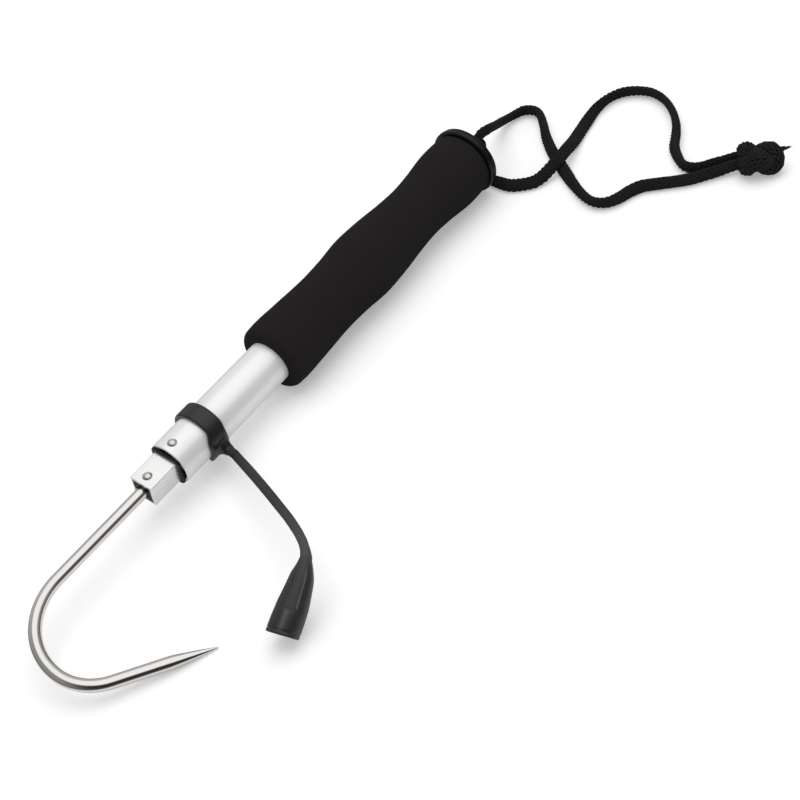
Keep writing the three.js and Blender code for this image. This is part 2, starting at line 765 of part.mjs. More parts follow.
function lanyardKnot() {
  const core = new THREE.SphereGeometry(knotCoreShare, 16, 10).scale(knotLength, knotWidth, knotHeight);
  const rings = [];
  const across = 3;
  for (let i = 0; i < knotTurns; i += 1) {
    const t = 2 * Math.PI * i / knotTurns;
    rings.push(new THREE.Vector3(
      (Math.sin(t) + 2 * Math.sin(2 * t)) / across * (knotLength / 2 - knotStrandRadius),
      (Math.cos(t) - 2 * Math.cos(2 * t)) / across * (knotWidth / 2 - knotStrandRadius),
      -Math.sin(3 * t) * (knotHeight / 2 - knotStrandRadius),
    ));
  }
  const strand = closedTube(rings, knotStrandRadius, cordSides);
  const tail = new THREE.CylinderGeometry(knotTailRadius, knotStrandRadius / 2, knotTailLength, cordSides)
    .rotateZ(-knotTailLean)
    .translate(knotLength * knotTailPlaceShare, knotWidth * knotTailPlaceShare, 0);
  const turn = new THREE.Quaternion().setFromUnitVectors(new THREE.Vector3(1, 0, 0), knotAim);
  const knot = join(core, strand, tail).applyQuaternion(turn);
  knot.translate(knotPlace.x, knotPlace.y, knotPlace.z);
  return cut(knot, cordEndRoom(upperLegRoute), cordEndRoom(lowerLegRoute));
}

// The room that a leg's end takes in the knot, with its clearance
function cordEndRoom(route) {
  const end = new THREE.Vector3(...route[route.length - 1]);
  const before = new THREE.Vector3(...route[route.length - 2]);
  end.addScaledVector(end.clone().sub(before).normalize(), seatGap);
  return cordRun([...route.slice(-4, -1), end.toArray()], 8, cordRadius + seatGap);
}

// A tube round a closed loop of points, as a skin without ends
function closedTube(loop, radius, sides) {
  const places = [];
  const index = [];
  const high = new THREE.Vector3(0, 0, 1);
  loop.forEach((middle, i) => {
    const before = loop[(i + loop.length - 1) % loop.length];
    const along = loop[(i + 1) % loop.length].clone().sub(before).normalize();
    const side = new THREE.Vector3().crossVectors(along, high).normalize();
    const up = new THREE.Vector3().crossVectors(side, along);
    for (let s = 0; s < sides; s += 1) {
      const turn = 2 * Math.PI * s / sides;
      const p = middle.clone()
        .addScaledVector(side, radius * Math.cos(turn))
        .addScaledVector(up, radius * Math.sin(turn));
      places.push(p.x, p.y, p.z);
    }
  });
  for (let i = 0; i < loop.length; i += 1) {
    const next = (i + 1) % loop.length;
    for (let s = 0; s < sides; s += 1) {
      const t = (s + 1) % sides;
      const [a, b, c, d] = [i * sides + s, i * sides + t, next * sides + t, next * sides + s];
      index.push(a, b, c, a, c, d);
    }
  }
  const geometry = new THREE.BufferGeometry();
  geometry.setAttribute('position', new THREE.Float32BufferAttribute(places, 3));
  geometry.setIndex(index);
  return geometry;
}

// Assembly: the pole and all that is keyed to the hook's plane are turned about the pole by the dip.
const pole = new THREE.Group();
pole.position.z = axisHeight;
pole.rotation.x = dipToTable();
pole.add(
  piece('outer_tube', outerTube(), brightAluminium),
  piece('grip', grip(), blackFoam),
  piece('butt_cap', buttCap(), blackPlastic),
  piece('mouth_bush', mouthBush(), blackPlastic),
  piece('outer_snap_button', button(outerButtonX, outerLeafTop + seatGap, tubeRadius), polishedSteel),
  piece('outer_leaf_spring', leaf(outerButtonX, outerLeafWidth, outerLeafTop), springSteel),
  piece('inner_tube', innerTube(), brightAluminium),
  piece('inner_mouth_plug', innerPlug(), blackPlastic),
  piece('inner_snap_button', button(innerButtonX, innerLeafTop + seatGap, squareHalf), polishedSteel),
  piece('inner_leaf_spring', leaf(innerButtonX, innerLeafWidth, innerLeafTop), springSteel),
  piece('tail_slider', tailSlider(), blackPlastic),
  piece('tail_slider_pin', tailSliderPin(), springSteel),
  piece('hook', hook(), polishedSteel),
  piece('rod_slider', rodSlider(), blackPlastic),
  piece('rod_slider_pin', rodSliderPin(), springSteel),
);

const collar = new THREE.Group();
collar.position.z = axisHeight;
collar.rotation.x = lugDropAngle;
collar.add(piece('guard_collar', guardCollar(), blackRubber));

const rigid = new THREE.Group();
rigid.add(
  pole,
  collar,
  piece('guard_strap', guardStrap(), blackRubber),
  piece('guard_cap', guardCap(), blackRubber),
);

const lanyard = new THREE.Group();
lanyard.add(
  piece('lanyard_bight', cordRun(bightRoute, 12), blackCord),
  piece('lanyard_upper_leg', cordRun(upperLegRoute, 32), blackCord),
  piece('lanyard_lower_leg', cordRun(lowerLegRoute, 36), blackCord),
  piece('lanyard_knot', lanyardKnot(), blackCord),
);

// The origin is under the middle of the gaff, without its lanyard, at the height of the table.
const gaff = new THREE.Group();
gaff.add(rigid, lanyard);
gaff.updateMatrixWorld(true);
const extent = new THREE.Box3().setFromObject(rigid, true);
const middle = extent.getCenter(new THREE.Vector3());
gaff.position.set(-middle.x, -middle.y, -extent.min.z);
gaff.updateMatrixWorld(true);

export default gaff;
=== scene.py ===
# The looks of the telescopic gaff: finer skins, braided cord, foam, metal and rubber finishes, floor and light.
# Shapes are drawn in millimetres in the frame of the part they belong to, and set down in metres.
import math

import bmesh
import bpy
from mathutils import Matrix, Vector


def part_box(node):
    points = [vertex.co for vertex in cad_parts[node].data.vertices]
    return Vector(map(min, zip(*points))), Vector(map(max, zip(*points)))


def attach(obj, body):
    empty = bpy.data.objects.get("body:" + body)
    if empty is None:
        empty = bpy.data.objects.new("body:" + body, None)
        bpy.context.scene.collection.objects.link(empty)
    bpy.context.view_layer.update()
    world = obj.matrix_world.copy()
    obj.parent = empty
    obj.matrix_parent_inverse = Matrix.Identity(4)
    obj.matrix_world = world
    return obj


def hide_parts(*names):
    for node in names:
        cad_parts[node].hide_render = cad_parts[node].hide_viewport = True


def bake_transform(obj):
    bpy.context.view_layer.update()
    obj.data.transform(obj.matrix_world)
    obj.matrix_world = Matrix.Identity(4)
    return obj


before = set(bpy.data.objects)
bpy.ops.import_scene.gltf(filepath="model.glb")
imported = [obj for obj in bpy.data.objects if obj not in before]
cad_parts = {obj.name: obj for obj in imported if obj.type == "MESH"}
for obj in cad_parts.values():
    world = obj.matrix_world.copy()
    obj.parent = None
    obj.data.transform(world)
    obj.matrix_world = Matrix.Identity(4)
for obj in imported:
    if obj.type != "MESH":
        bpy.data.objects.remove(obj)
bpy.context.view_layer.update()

MM = 0.001
AXIS_HEIGHT = 17.75
DIP = math.radians(13.499)
LUG_DROP = math.radians(23)
SEAT_GAP = 0.3

# The pole's axis at the mouth of the outer tube, in metres, as the frame has it
tube_low, tube_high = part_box("outer_tube")
mouth = Vector((tube_low.x, (tube_low.y + tube_high.y) / 2, (tube_low.z + tube_high.z) / 2))
TO_METRES = Matrix.Scale(MM, 4)
TABLE = Matrix.Translation(mouth - Vector((0, 0, AXIS_HEIGHT * MM))) @ TO_METRES
POLE = Matrix.Translation(mouth) @ Matrix.Rotation(DIP, 4, "X") @ TO_METRES
COLLAR = Matrix.Translation(mouth) @ Matrix.Rotation(LUG_DROP, 4, "X") @ TO_METRES

# The camera's place and its right, in millimetres on the table
CAMERA_PLACE = Vector((-208.686, -424.043, 430.976))
CAMERA_RIGHT = Vector((0.5915, -0.7662, -0.2512))
X, Y, Z = Vector((1, 0, 0)), Vector((0, 1, 0)), Vector((0, 0, 1))


# camera

def photo_camera():
    """The camera at the photograph's place, solved from the pole's round edges and square mouth."""
    data = bpy.data.cameras.new("photo_camera")
    data.lens, data.sensor_width = 65.714, 36.0
    data.clip_start, data.clip_end = 0.01, 20.0
    camera = bpy.data.objects.new("photo_camera", data)
    bpy.context.scene.collection.objects.link(camera)
    turned = Matrix(((0.5915, 0.6628, -0.4592), (-0.7662, 0.2846, -0.5761), (-0.2512, 0.6926, 0.6762)))
    turned = turned.to_quaternion().normalized().to_matrix().to_4x4()
    camera.matrix_world = Matrix.Translation(TABLE @ CAMERA_PLACE) @ turned
    bpy.context.scene.camera = camera


photo_camera()


# numbers and nodes

def ramp(value, low, high):
    """0 at low, 1 at high, a straight line between them."""
    return min(max((value - low) / (high - low), 0.0), 1.0)


def step(value, low, high):
    """0 at low, 1 at high, a smooth step between them."""
    t = ramp(value, low, high)
    return t * t * (3 - 2 * t)


def mix(a, b, share):
    return a + (b - a) * share


def shares(count):
    """Numbers from 0 to 1 in even steps."""
    return [i / count for i in range(count + 1)]


def quarter(count):
    """The sine and the cosine at each step of a quarter turn."""
    return [(math.sin(t), math.cos(t)) for t in (math.pi / 2 * share for share in shares(count))]


def towards(turn, tilt):
    """The direction at a turn round Z and a tilt up from the table, in degrees."""
    turn, tilt = math.radians(turn), math.radians(tilt)
    return Vector((math.cos(tilt) * math.cos(turn), math.cos(tilt) * math.sin(turn), math.sin(tilt)))


def set_socket(tree, socket, value):
    """Gives a socket its value, or links it."""
    value = value.socket if isinstance(value, Reading) else value
    if isinstance(value, bpy.types.NodeSocket):
        tree.links.new(value, socket)
    else:
        socket.default_value = value


def add_node(tree, kind, settings=None, inputs=None):
    """Adds a node, with its settings and then its sockets' values or links, and gives its outputs."""
    made = tree.nodes.new(kind)
    for key, value in (settings or {}).items():
        setattr(made, key, value)
    for key, value in (inputs or {}).items():
        set_socket(tree, made.inputs[key], value)
    return made.outputs


class Reading:
    """A number that varies over a surface or along a cord. Sums on it add the nodes that work them out."""

    def __init__(self, tree, socket):
        self.tree, self.socket = tree, socket

    def math(self, operation, *others, swapped=False, clamp=False):
        values = [*others, self] if swapped else [self, *others]
        settings = {"operation": operation, "use_clamp": clamp}
        return Reading(self.tree, add_node(self.tree, "ShaderNodeMath", settings, dict(enumerate(values)))[0])

    def __add__(self, other):
        return self.math("ADD", other)

    def __sub__(self, other):
        return self.math("SUBTRACT", other)

    def __mul__(self, other):
        return self.math("MULTIPLY", other)

    def __truediv__(self, other):
        return self.math("DIVIDE", other)

    def __rsub__(self, other):
        return self.math("SUBTRACT", other, swapped=True)

    def __rtruediv__(self, other):
        return self.math("DIVIDE", other, swapped=True)

    __radd__ = __add__
    __rmul__ = __mul__

    def clamped(self):
        return self.math("ADD", 0.0, clamp=True)

    def above(self, low, high):
        """0 below low, 1 above high, a straight ramp between them."""
        return ((self - low) / (high - low)).clamped()


class Finish:
    """A material of one surface, with constants on its shader's own sockets."""

    def __init__(self, name, color, roughness, metallic=0.0, **constants):
        self.material = bpy.data.materials.new(name)
        self.material.use_nodes = True
        self.tree = self.material.node_tree
        self.shader = self.tree.nodes["Principled BSDF"]
        self.color = (*color, 1.0)
        self.feed("Base Color", self.color)
        self.feed("Roughness", roughness)
        self.feed("Metallic", metallic)
        for socket, value in constants.items():
            self.feed(socket.replace("_", " "), value)

    def feed(self, name, value):
        set_socket(self.tree, self.shader.inputs[name], value)
        return self

    def node(self, kind, settings=None, inputs=None):
        return add_node(self.tree, kind, settings, inputs)

    def place(self, stretch=(1, 1, 1), coordinate="Object"):
        """The point on the piece in metres, or on its UV map, stretched along the axes."""
        point = self.node("ShaderNodeTexCoord")[coordinate]
        return self.node("ShaderNodeVectorMath", {"operation": "MULTIPLY"}, {0: point, 1: stretch})[0]

    def noise(self, scale, detail, roughness, *place):
        return Reading(self.tree, self.node("ShaderNodeTexNoise", {}, {
            "Vector": self.place(*place), "Scale": scale, "Detail": detail, "Roughness": roughness})[0])

    def cells(self, scale):
        made = self.node("ShaderNodeTexVoronoi", {"feature": "F1"}, {"Vector": self.place(), "Scale": scale})
        return Reading(self.tree, made["Distance"])

    def skin_map(self):
        """How far along the piece a point is, and which share of the way round it, from the piece's UV map."""
        split = self.node("ShaderNodeSeparateXYZ", {}, {0: self.node("ShaderNodeTexCoord")["UV"]})
        return Reading(self.tree, split[0]), Reading(self.tree, split[1])

    def attribute(self, name):
        return Reading(self.tree, self.node("ShaderNodeAttribute", {"attribute_name": name})["Fac"])

    def tint(self, amount, other):
        """The base colour, going over to another by an amount that varies."""
        mixed = self.node("ShaderNodeMix", {"data_type": "RGBA"}, {0: amount, 6: self.color, 7: (*other, 1.0)})
        self.color = mixed[2]
        return self.feed("Base Color", self.color)

    def bump(self, height, depth, strength=1.0):
        made = self.node("ShaderNodeBump", {}, {"Height": height, "Distance": depth, "Strength": strength})
        return self.feed("Normal", made[0])


# finishes

def shaded(tone, by):
    return tuple(c * by for c in tone)


def extruded_aluminium(name, grain_axis_stretch, tone, metallic, roughness):
    """Satin aluminium with the fine lines of its extrusion along the tube and a faint handled haze."""
    finish = Finish(name, tone, roughness, metallic)
    lines = finish.noise(1.0, 3.0, 0.6, grain_axis_stretch)
    haze = finish.noise(38.0, 3.0, 0.55)
    rubs = finish.noise(1.0, 2.0, 0.7, (60.0, 2200.0, 2200.0)).above(0.66, 0.78)
    finish.feed("Roughness", roughness - 0.06 + lines * 0.08 + haze * 0.06 - rubs * 0.1)
    finish.tint((lines - 0.4) * 0.35 + (haze - 0.5) * 0.3 + rubs * 0.35, shaded(tone, 0.9))
    return finish.bump(lines, 0.000008, 0.35).material


def polished_rod(name):
    """Polished stainless rod: fine streaks run round the bend with it, among a few handling scratches."""
    tone = (0.86, 0.832, 0.806)
    finish = Finish(name, tone, 0.12, 1.0)
    streaks = finish.noise(1.0, 3.0, 0.62, (1.6, 26.0, 1.0), "UV")
    specks = finish.noise(900.0, 2.0, 0.5)
    scratches = finish.noise(1.0, 3.0, 0.75, (60.0, 9.0, 1.0), "UV").above(0.68, 0.76)
    finish.feed("Roughness", 0.09 + streaks * 0.06 + specks * 0.02 + scratches * 0.1)
    finish.tint((streaks - 0.3) * 0.3 + scratches * 0.3, (0.72, 0.69, 0.665))
    return finish.bump(streaks, 0.000008, 0.45).material


def bright_steel(name, tone=(0.84, 0.835, 0.82), roughness=0.27):
    finish = Finish(name, tone, roughness, 1.0)
    specks = finish.noise(1500.0, 2.0, 0.6)
    finish.feed("Roughness", roughness - 0.04 + specks * 0.12)
    return finish.tint(specks * 0.5, shaded(tone, 0.82)).material


def moulded_plastic(name, tone=(0.0055, 0.0052, 0.0056), roughness=0.27, gloss=0.25):
    """Black moulded plastic: a fine grain, and a slightly duller cast where the mould was worn."""
    finish = Finish(name, tone, roughness, Specular_IOR_Level=gloss)
    grain = finish.noise(2600.0, 3.0, 0.6)
    cast = finish.noise(60.0, 3.0, 0.5)
    finish.feed("Roughness", roughness - 0.08 + grain * 0.1 + cast * 0.1)
    finish.tint(cast * 0.6, shaded(tone, 1.6))
    return finish.bump(grain, 0.00003, 0.35).material


def soft_rubber(name, tone, roughness, gloss):
    finish = Finish(name, tone, roughness, Specular_IOR_Level=gloss)
    grain = finish.noise(1700.0, 3.0, 0.65)
    bloom = finish.noise(75.0, 3.0, 0.55)
    finish.feed("Roughness", roughness - 0.1 + grain * 0.12 + bloom * 0.12)
    finish.tint(bloom * 0.8, shaded(tone, 1.4))
    return finish.bump(grain, 0.00004, 0.4).material


def streak(along, around, middle, half_width, start, end):
    """1 on a line along a piece, at a share of the way round it, with soft sides and ends."""
    across = (1 - (around - middle).math("ABSOLUTE") / half_width).clamped()
    return across * along.above(start, start + 0.04) * (1 - along.above(end - 0.01, end))


def guard_rubber(name):
    """The guard's moulding: dark by the collar, paler and duller along the middle of the strap, glossier on the cap."""
    finish = Finish(name, (0.03, 0.029, 0.029), 0.5, Specular_IOR_Level=0.42)
    along, around = finish.skin_map()
    cap = along.above(0.95, 1.12)
    strap_middle = along.above(0.45, 0.8) * (1 - along.above(0.98, 1.2))
    grain = finish.noise(1700.0, 3.0, 0.65)
    bloom = finish.noise(110.0, 3.0, 0.55)
    streaks = finish.noise(1.0, 3.0, 0.6, (3.0, 26.0, 1.0), "UV")
    finish.feed("Roughness", 0.56 - cap * 0.3 + grain * 0.08 + bloom * 0.06 + (streaks - 0.5) * 0.1)
    finish.tint((strap_middle * 0.9 + (bloom - 0.5) * 0.3).clamped(), (0.066, 0.064, 0.063))
    finish.tint((1 - along.above(0.0, 0.14)) * 0.6, (0.014, 0.0135, 0.014))
    finish.tint((cap * (0.75 + (streaks - 0.5) * 0.5)).clamped(), (0.03, 0.0275, 0.0295))
    # Painted highlights: a thin pale line down the bell and a wider pale band along the sleeve, in place of the light's
    # reflections there
    painted_bell_highlight = streak(along, around, 0.379, 0.013, 1.1, 1.64)
    painted_sleeve_highlight = streak(along, around, 0.298, 0.034, 1.66, 1.95)
    finish.tint(painted_bell_highlight * 0.8 + painted_sleeve_highlight * 0.4, (0.15, 0.142, 0.148))
    return finish.bump(grain, 0.00004, 0.4).material


def dense_foam(name):
    """Closed-cell foam, ground to shape: tiny open cells over the skin and a matte, nearly black colour."""
    finish = Finish(name, (0.0125, 0.0108, 0.0114), 0.95, Specular_IOR_Level=0.1)
    cells = finish.cells(1900.0)
    pits = finish.noise(4200.0, 2.0, 0.6)
    cloud = finish.noise(46.0, 4.0, 0.6)
    height = (cells * 0.8).clamped() + pits * 0.5
    finish.feed("Roughness", 0.86 + pits * 0.12)
    finish.tint(cloud * 0.4 + cells * 0.3, (0.0205, 0.0182, 0.0188))
    return finish.bump(height, 0.00009, 0.5).material


def cord_yarn(name, tone, lighter):
    """Black multifilament yarn: fine filaments twist along each strand of the braid."""
    finish = Finish(name, tone, 0.86, Specular_IOR_Level=0.14)
    along = finish.attribute("along")
    around = finish.attribute("around")
    filaments = (along * 2600.0 + around * (2 * math.pi * 5)).math("SINE") * 0.5 + 0.5
    fuzz = finish.noise(2400.0, 2.0, 0.6)
    worn = finish.noise(85.0, 3.0, 0.6)
    finish.feed("Roughness", 0.78 + fuzz * 0.16)
    finish.tint((filaments * 0.35 + fuzz * 0.4 + (worn - 0.5) * 0.6).clamped(), lighter)
    return finish.bump(filaments * 0.6 + fuzz * 0.6, 0.00008, 0.6).material


def bare_core(name):
    finish = Finish(name, (0.003, 0.003, 0.003), 0.9, Specular_IOR_Level=0.05)
    weave = finish.noise(1800.0, 2.0, 0.6)
    return finish.tint(weave * 0.6, (0.006, 0.006, 0.006)).material


TUBE_FINISH = extruded_aluminium("tube_aluminium", (7.0, 1500.0, 1500.0), (0.955, 0.957, 0.95), 0.28, 0.32)
SQUARE_FINISH = extruded_aluminium("square_aluminium", (9.0, 1300.0, 1300.0), (0.93, 0.93, 0.92), 0.75, 0.26)
HOOK_FINISH = polished_rod("hook_steel")
DOME_FINISH = bright_steel("button_steel")
SPRING_FINISH = bright_steel("spring_steel", (0.56, 0.57, 0.58), 0.3)
PLASTIC_FINISH = moulded_plastic("cap_plastic")
BUSH_FINISH = moulded_plastic("bush_plastic", (0.007, 0.007, 0.007), 0.45, 0.2)
SLIDER_FINISH = moulded_plastic("slider_plastic", (0.02, 0.02, 0.021), 0.5)
COLLAR_FINISH = soft_rubber("collar_rubber", (0.0125, 0.012, 0.0128), 0.3, 0.5)
GUARD_FINISH = guard_rubber("guard_rubber")
FOAM_FINISH = dense_foam("grip_foam")
YARN_FINISH = cord_yarn("cord_yarn", (0.0095, 0.0088, 0.0092), (0.028, 0.0265, 0.027))
CORE_FINISH = bare_core("cord_core")


# meshes

def linked(name, mesh, finish=None):
    """A piece of a mesh, with its finish."""
    piece = bpy.data.objects.new(name, mesh)
    bpy.context.scene.collection.objects.link(piece)
    if finish:
        mesh.materials.append(finish)
    return piece


def moulded(name, bm, place, finish=None, edge_angle=32.0):
    """A piece from a drawn shape, in metres, with its faces outwards, its round parts smooth and its edges crisp."""
    bmesh.ops.remove_doubles(bm, verts=bm.verts, dist=1e-5)
    bm.transform(place)
    bmesh.ops.recalc_face_normals(bm, faces=bm.faces)
    mesh = bpy.data.meshes.new(name)
    bm.to_mesh(mesh)
    bm.free()
    return crisp(linked(name, mesh, finish), edge_angle)


def crisp(piece, edge_angle):
    """The piece with smooth faces and an edge wherever they meet at more than an angle."""
    mesh = piece.data
    mesh.polygons.foreach_set("use_smooth", [True] * len(mesh.polygons))
    mesh.set_sharp_from_angle(angle=math.radians(edge_angle))
    return piece


def skin(rings, loop=False, measures=None):
    """Faces over rings of points. A ring of one point is a pole; an open run of rings gets flat ends."""
    bm = bmesh.new()
    uv = bm.loops.layers.uv.new("UVMap")
    rows = [[bm.verts.new(p) for p in ring] for ring in rings]
    count = max(len(row) for row in rows)
    measures = measures or range(len(rows))
    pairs = list(zip(range(len(rows)), range(1, len(rows))))
    if loop:
        pairs.append((len(rows) - 1, 0))
    for a, b in pairs:
        for i in range(count):
            j = (i + 1) % count
            corners = []
            for row, k, at in ((a, i, i), (a, j, i + 1), (b, j, i + 1), (b, i, i)):
                vert = rows[row][k if len(rows[row]) > 1 else 0]
                if vert not in [c[0] for c in corners]:
                    corners.append((vert, measures[row], at / count))
            if len(corners) < 3:
                continue
            face = bm.faces.new([c[0] for c in corners])
            for corner, (_, u, v) in zip(face.loops, corners):
                corner[uv].uv = (u, v)
    if not loop:
        for row in (rows[0], rows[-1]):
            if len(row) > 2:
                bm.faces.new(row)
    return bm


def filleted(corners, steps=5):
    """The points of a closed outline whose corners are given as (x, y, rounding)."""
    points = []
    for i, (x, y, rounding) in enumerate(corners):
        here = Vector((x, y))
        if rounding <= 0:
            points.append(here)
            continue
        back = (Vector(corners[i - 1][:2]) - here).normalized()
        ahead = (Vector(corners[(i + 1) % len(corners)][:2]) - here).normalized()
        half = back.angle(ahead) / 2
        middle = here + (back + ahead).normalized() * (rounding / math.sin(half))
        first = here + back * (rounding / math.tan(half)) - middle
        last = here + ahead * (rounding / math.tan(half)) - middle
        swing = first.angle_signed(last)
        points += [middle + Matrix.Rotation(-swing * share, 2) @ first for share in shares(steps)]
    return points


def angles(count):
    return [2 * math.pi * i / count for i in range(count)]


def oval(middle, side, up, count, squareness=1.0):
    """Points round a middle at two half axes: an oval at squareness 1, and squarer below it."""
    ring = []
    for c, s in ((math.cos(turn), math.sin(turn)) for turn in angles(count)):
        ring.append(
            middle + side * math.copysign(abs(c) ** squareness, c) + up * math.copysign(abs(s) ** squareness, s))
    return ring


def lathe(points, sides, loop=True):
    """Outline points (x, radius) turned round the X axis. A radius of 0 closes the end."""
    return skin([oval(X * x, Y * radius, Z * radius, sides) if radius else [X * x] for x, radius in points], loop)


def squared(half, corner, steps):
    """A rounded square in (y, z), in the order of its angles."""
    return filleted([(half, half, corner), (-half, half, corner), (-half, -half, corner), (half, -half, corner)], steps)


def circle_like(section, radius):
    """Points of a circle at the angles of another section's points."""
    return [Vector(p).normalized() * radius for p in section]


def bar(stations):
    """A closed ring of sections, (x, points in y and z), along the X axis."""
    return skin([[Vector((x, *p)) for p in section] for x, section in stations], loop=True)


def carved(piece, operation, tool, edge_angle):
    """The piece after a tool piece is cut away or joined on, which is then gone."""
    change = piece.modifiers.new("carve", "BOOLEAN")
    change.operation, change.solver, change.object = operation, "EXACT", tool
    baked(piece)
    bpy.data.objects.remove(tool)
    return crisp(piece, edge_angle)


def shown_mesh(piece):
    """A plain mesh of what a piece shows."""
    bpy.context.view_layer.update()
    return bpy.data.meshes.new_from_object(piece.evaluated_get(bpy.context.evaluated_depsgraph_get()))


def baked(piece):
    """The piece with its modifiers worked into a plain mesh."""
    mesh = shown_mesh(piece)
    piece.modifiers.clear()
    piece.data = mesh
    mesh.name = piece.name
    return piece


def joined(piece, *others):
    """One mesh of several pieces, each with its own finish."""
    pieces = [piece, *others]
    with bpy.context.temp_override(
            active_object=piece, object=piece, selected_objects=pieces, selected_editable_objects=pieces):
        bpy.ops.object.join()
    return piece


def finished(piece, body, slot, *nodes):
    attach(piece, body)
    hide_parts(*nodes)
    return piece


# lanyard

def between(a, b, at_a, at_b, at):
    return a * ((at_b - at) / (at_b - at_a)) + b * ((at - at_a) / (at_b - at_a))


def smooth_line(route, step_length):
    """Points about a step apart on a centripetal curve through a route, with any fourth number carried along."""
    points = [Vector(p) for p in route]
    points = [2 * points[0] - points[1]] + points + [2 * points[-1] - points[-2]]
    out = []
    for i in range(1, len(points) - 2):
        p = points[i - 1:i + 3]
        t = [0.0]
        for a, b in zip(p, p[1:]):
            t.append(t[-1] + math.sqrt(max((b - a).length, 1e-6)))
        count = max(2, round((p[2] - p[1]).length / step_length))
        for share in shares(count)[:-1]:
            at = mix(t[1], t[2], share)
            a1, a2, a3 = (between(p[k], p[k + 1], t[k], t[k + 1], at) for k in range(3))
            b1, b2 = between(a1, a2, t[0], t[2], at), between(a2, a3, t[1], t[3], at)
            out.append(between(b1, b2, t[1], t[2], at))
    out.append(points[-2])
    return out


# The braid is a flat one: half its width and half its thickness, also where the eye squeezes it
CORD_WIDE, CORD_THIN = 3.3, 2.05
EYE_WIDE, EYE_THIN = 2.75, 2.3
# The cord's middle along the photographed loop, over the eye and down through it, and how much of its
# flat side it turns to the camera there: 1 is all of it, 0 its edge
upper_route = [
    (227.45, 0.35, 16, 0.4), (227.5, -0.1, 17.8, 0.4), (227.6, -1.2, 21.5, 0.4), (228.5, -2.3, 23.9, 0.4),
    (230.7, -3.05, 25.4, 0.4), (233, -3.1, 25.6, 0.4), (234.6, -3.15, 25.2, 0.38),
    (235.9, -2.85, 24.7, 0.34), (237.1, -2.4, 24.1, 0.3), (239.7, -1.06, 22.3, 0.25), (241.7, 0.04, 21, 0.2),
    (244.8, 1.87, 18.9, 0.16), (250, 5.04, 15.3, 0.15), (256.5, 8.3, 11.3, 0.15), (264.1, 11.43, 7.1, 0.22),
    (271.3, 13.18, 3.9, 0.15), (276.8, 12.44, 2.8, 0.18), (280.7, 10.4, 2.7, 0.4), (282.5, 6.5, 2.7, 0.33),
    (282.2, 2.3, 2.7, 0.27), (279.9, -1.4, 2.7, 0.2), (272.7, -8.3, 2.7, 0.25), (264.9, -15, 2.7, 0.45),
    (256.6, -23.8, 2.7, 0.75), (249.6, -32.4, 2.7, 0.9), (242.6, -41.6, 2.7, 1), (235.8, -50.9, 2.7, 0.5),
    (230.1, -60.2, 2.7, 0.3), (227.9, -67, 2.7, 0.27), (229.4, -73, 2.7, 0.38), (234.6, -77, 2.7, 0.7),
    (240.9, -79.6, 2.7, 0.9), (245.8, -83, 2.7, 0.9), (250, -89.4, 2.7, 0.8), (253.8, -95.9, 2.7, 0.8),
    (258, -102.1, 2.7, 0.75), (262.8, -107, 2.7, 0.65), (267.7, -112.2, 3, 0.6), (271.1, -116.1, 3.7, 0.6),
    (273.7, -120.2, 4.6, 0.6), (275, -123.4, 5.4, 0.6),
]
lower_route = [
    (227.45, 0.5, 15.4, 0.4), (227.4, 0.95, 13.6, 0.4), (227.3, 1.1, 11, 0.5), (227, 0, 7.8, 0.65),
    (226.5, -2.8, 5, 0.8), (226, -6.2, 3.4, 0.85), (225.7, -9.2, 2.7, 0.9), (225.36, -12.6, 2.7, 0.95),
    (225.1, -16, 2.7, 0.95), (225.3, -20, 2.7, 1), (227.8, -25.2, 2.7, 1), (231.2, -30.1, 3, 0.98),
    (235.4, -32.9, 4.1, 1), (240.8, -35.4, 6.7, 1), (246.5, -37.1, 8.7, 0.95), (252.4, -36.2, 8.1, 0.95),
    (258.6, -34.2, 5.9, 1), (264.6, -32.3, 4, 1), (272.4, -30.3, 2.9, 1), (283.9, -28.3, 2.7, 0.95),
    (295, -27.2, 2.7, 0.55), (304.4, -28.8, 2.7, 0.3), (310.7, -33.4, 2.7, 0.37), (314, -41.1, 2.7, 0.27),
    (314.1, -49.3, 2.7, 0.2), (309.7, -58.9, 2.7, 0.05), (303.1, -66.7, 2.7, 0), (294.7, -73.3, 2.7, 0.08),
    (285.9, -78.2, 2.7, 0.33), (277.1, -82.6, 2.7, 0.45), (268.4, -90.9, 2.7, 0.3), (266.3, -93.9, 2.7, 0.3),
    (265.6, -97.4, 2.7, 0.5), (266.3, -100.9, 2.7, 0.6), (267.9, -103.5, 2.7, 0.65), (271.6, -107, 2.7, 0.65),
    (275, -110.7, 2.8, 0.6), (277.8, -114.4, 3.5, 0.6), (279.4, -118.4, 4.7, 0.6), (279.8, -121.8, 5.4, 0.6),
]
# How high the middle of the cord lies on the table
TABLE_REST = 2.7
# Where the eye is along the pole, and how far from it the cord is still squeezed and is free again
EYE_MIDDLE_X, EYE_SQUEEZE, EYE_RELEASE = 228.5, 5.0, 14.0


def tangents(points):
    last = len(points) - 1
    return [(points[min(i + 1, last)] - points[max(i - 1, 0)]).normalized() for i in range(last + 1)]


def sections(points, ways, sizes):
    """The two half axes of a flat cord at each point, evened out along it, the wide one first."""
    across, last = [], None
    for i, along in enumerate(tangents(points)):
        wide = sum(ways[max(0, i - 4):i + 5], Vector((0, 0, 0)))
        wide = (wide - along * wide.dot(along)).normalized()
        if last and wide.dot(last) < 0:
            wide = -wide
        last = wide
        across.append((wide * sizes[i][0], along.cross(wide) * sizes[i][1]))
    return across


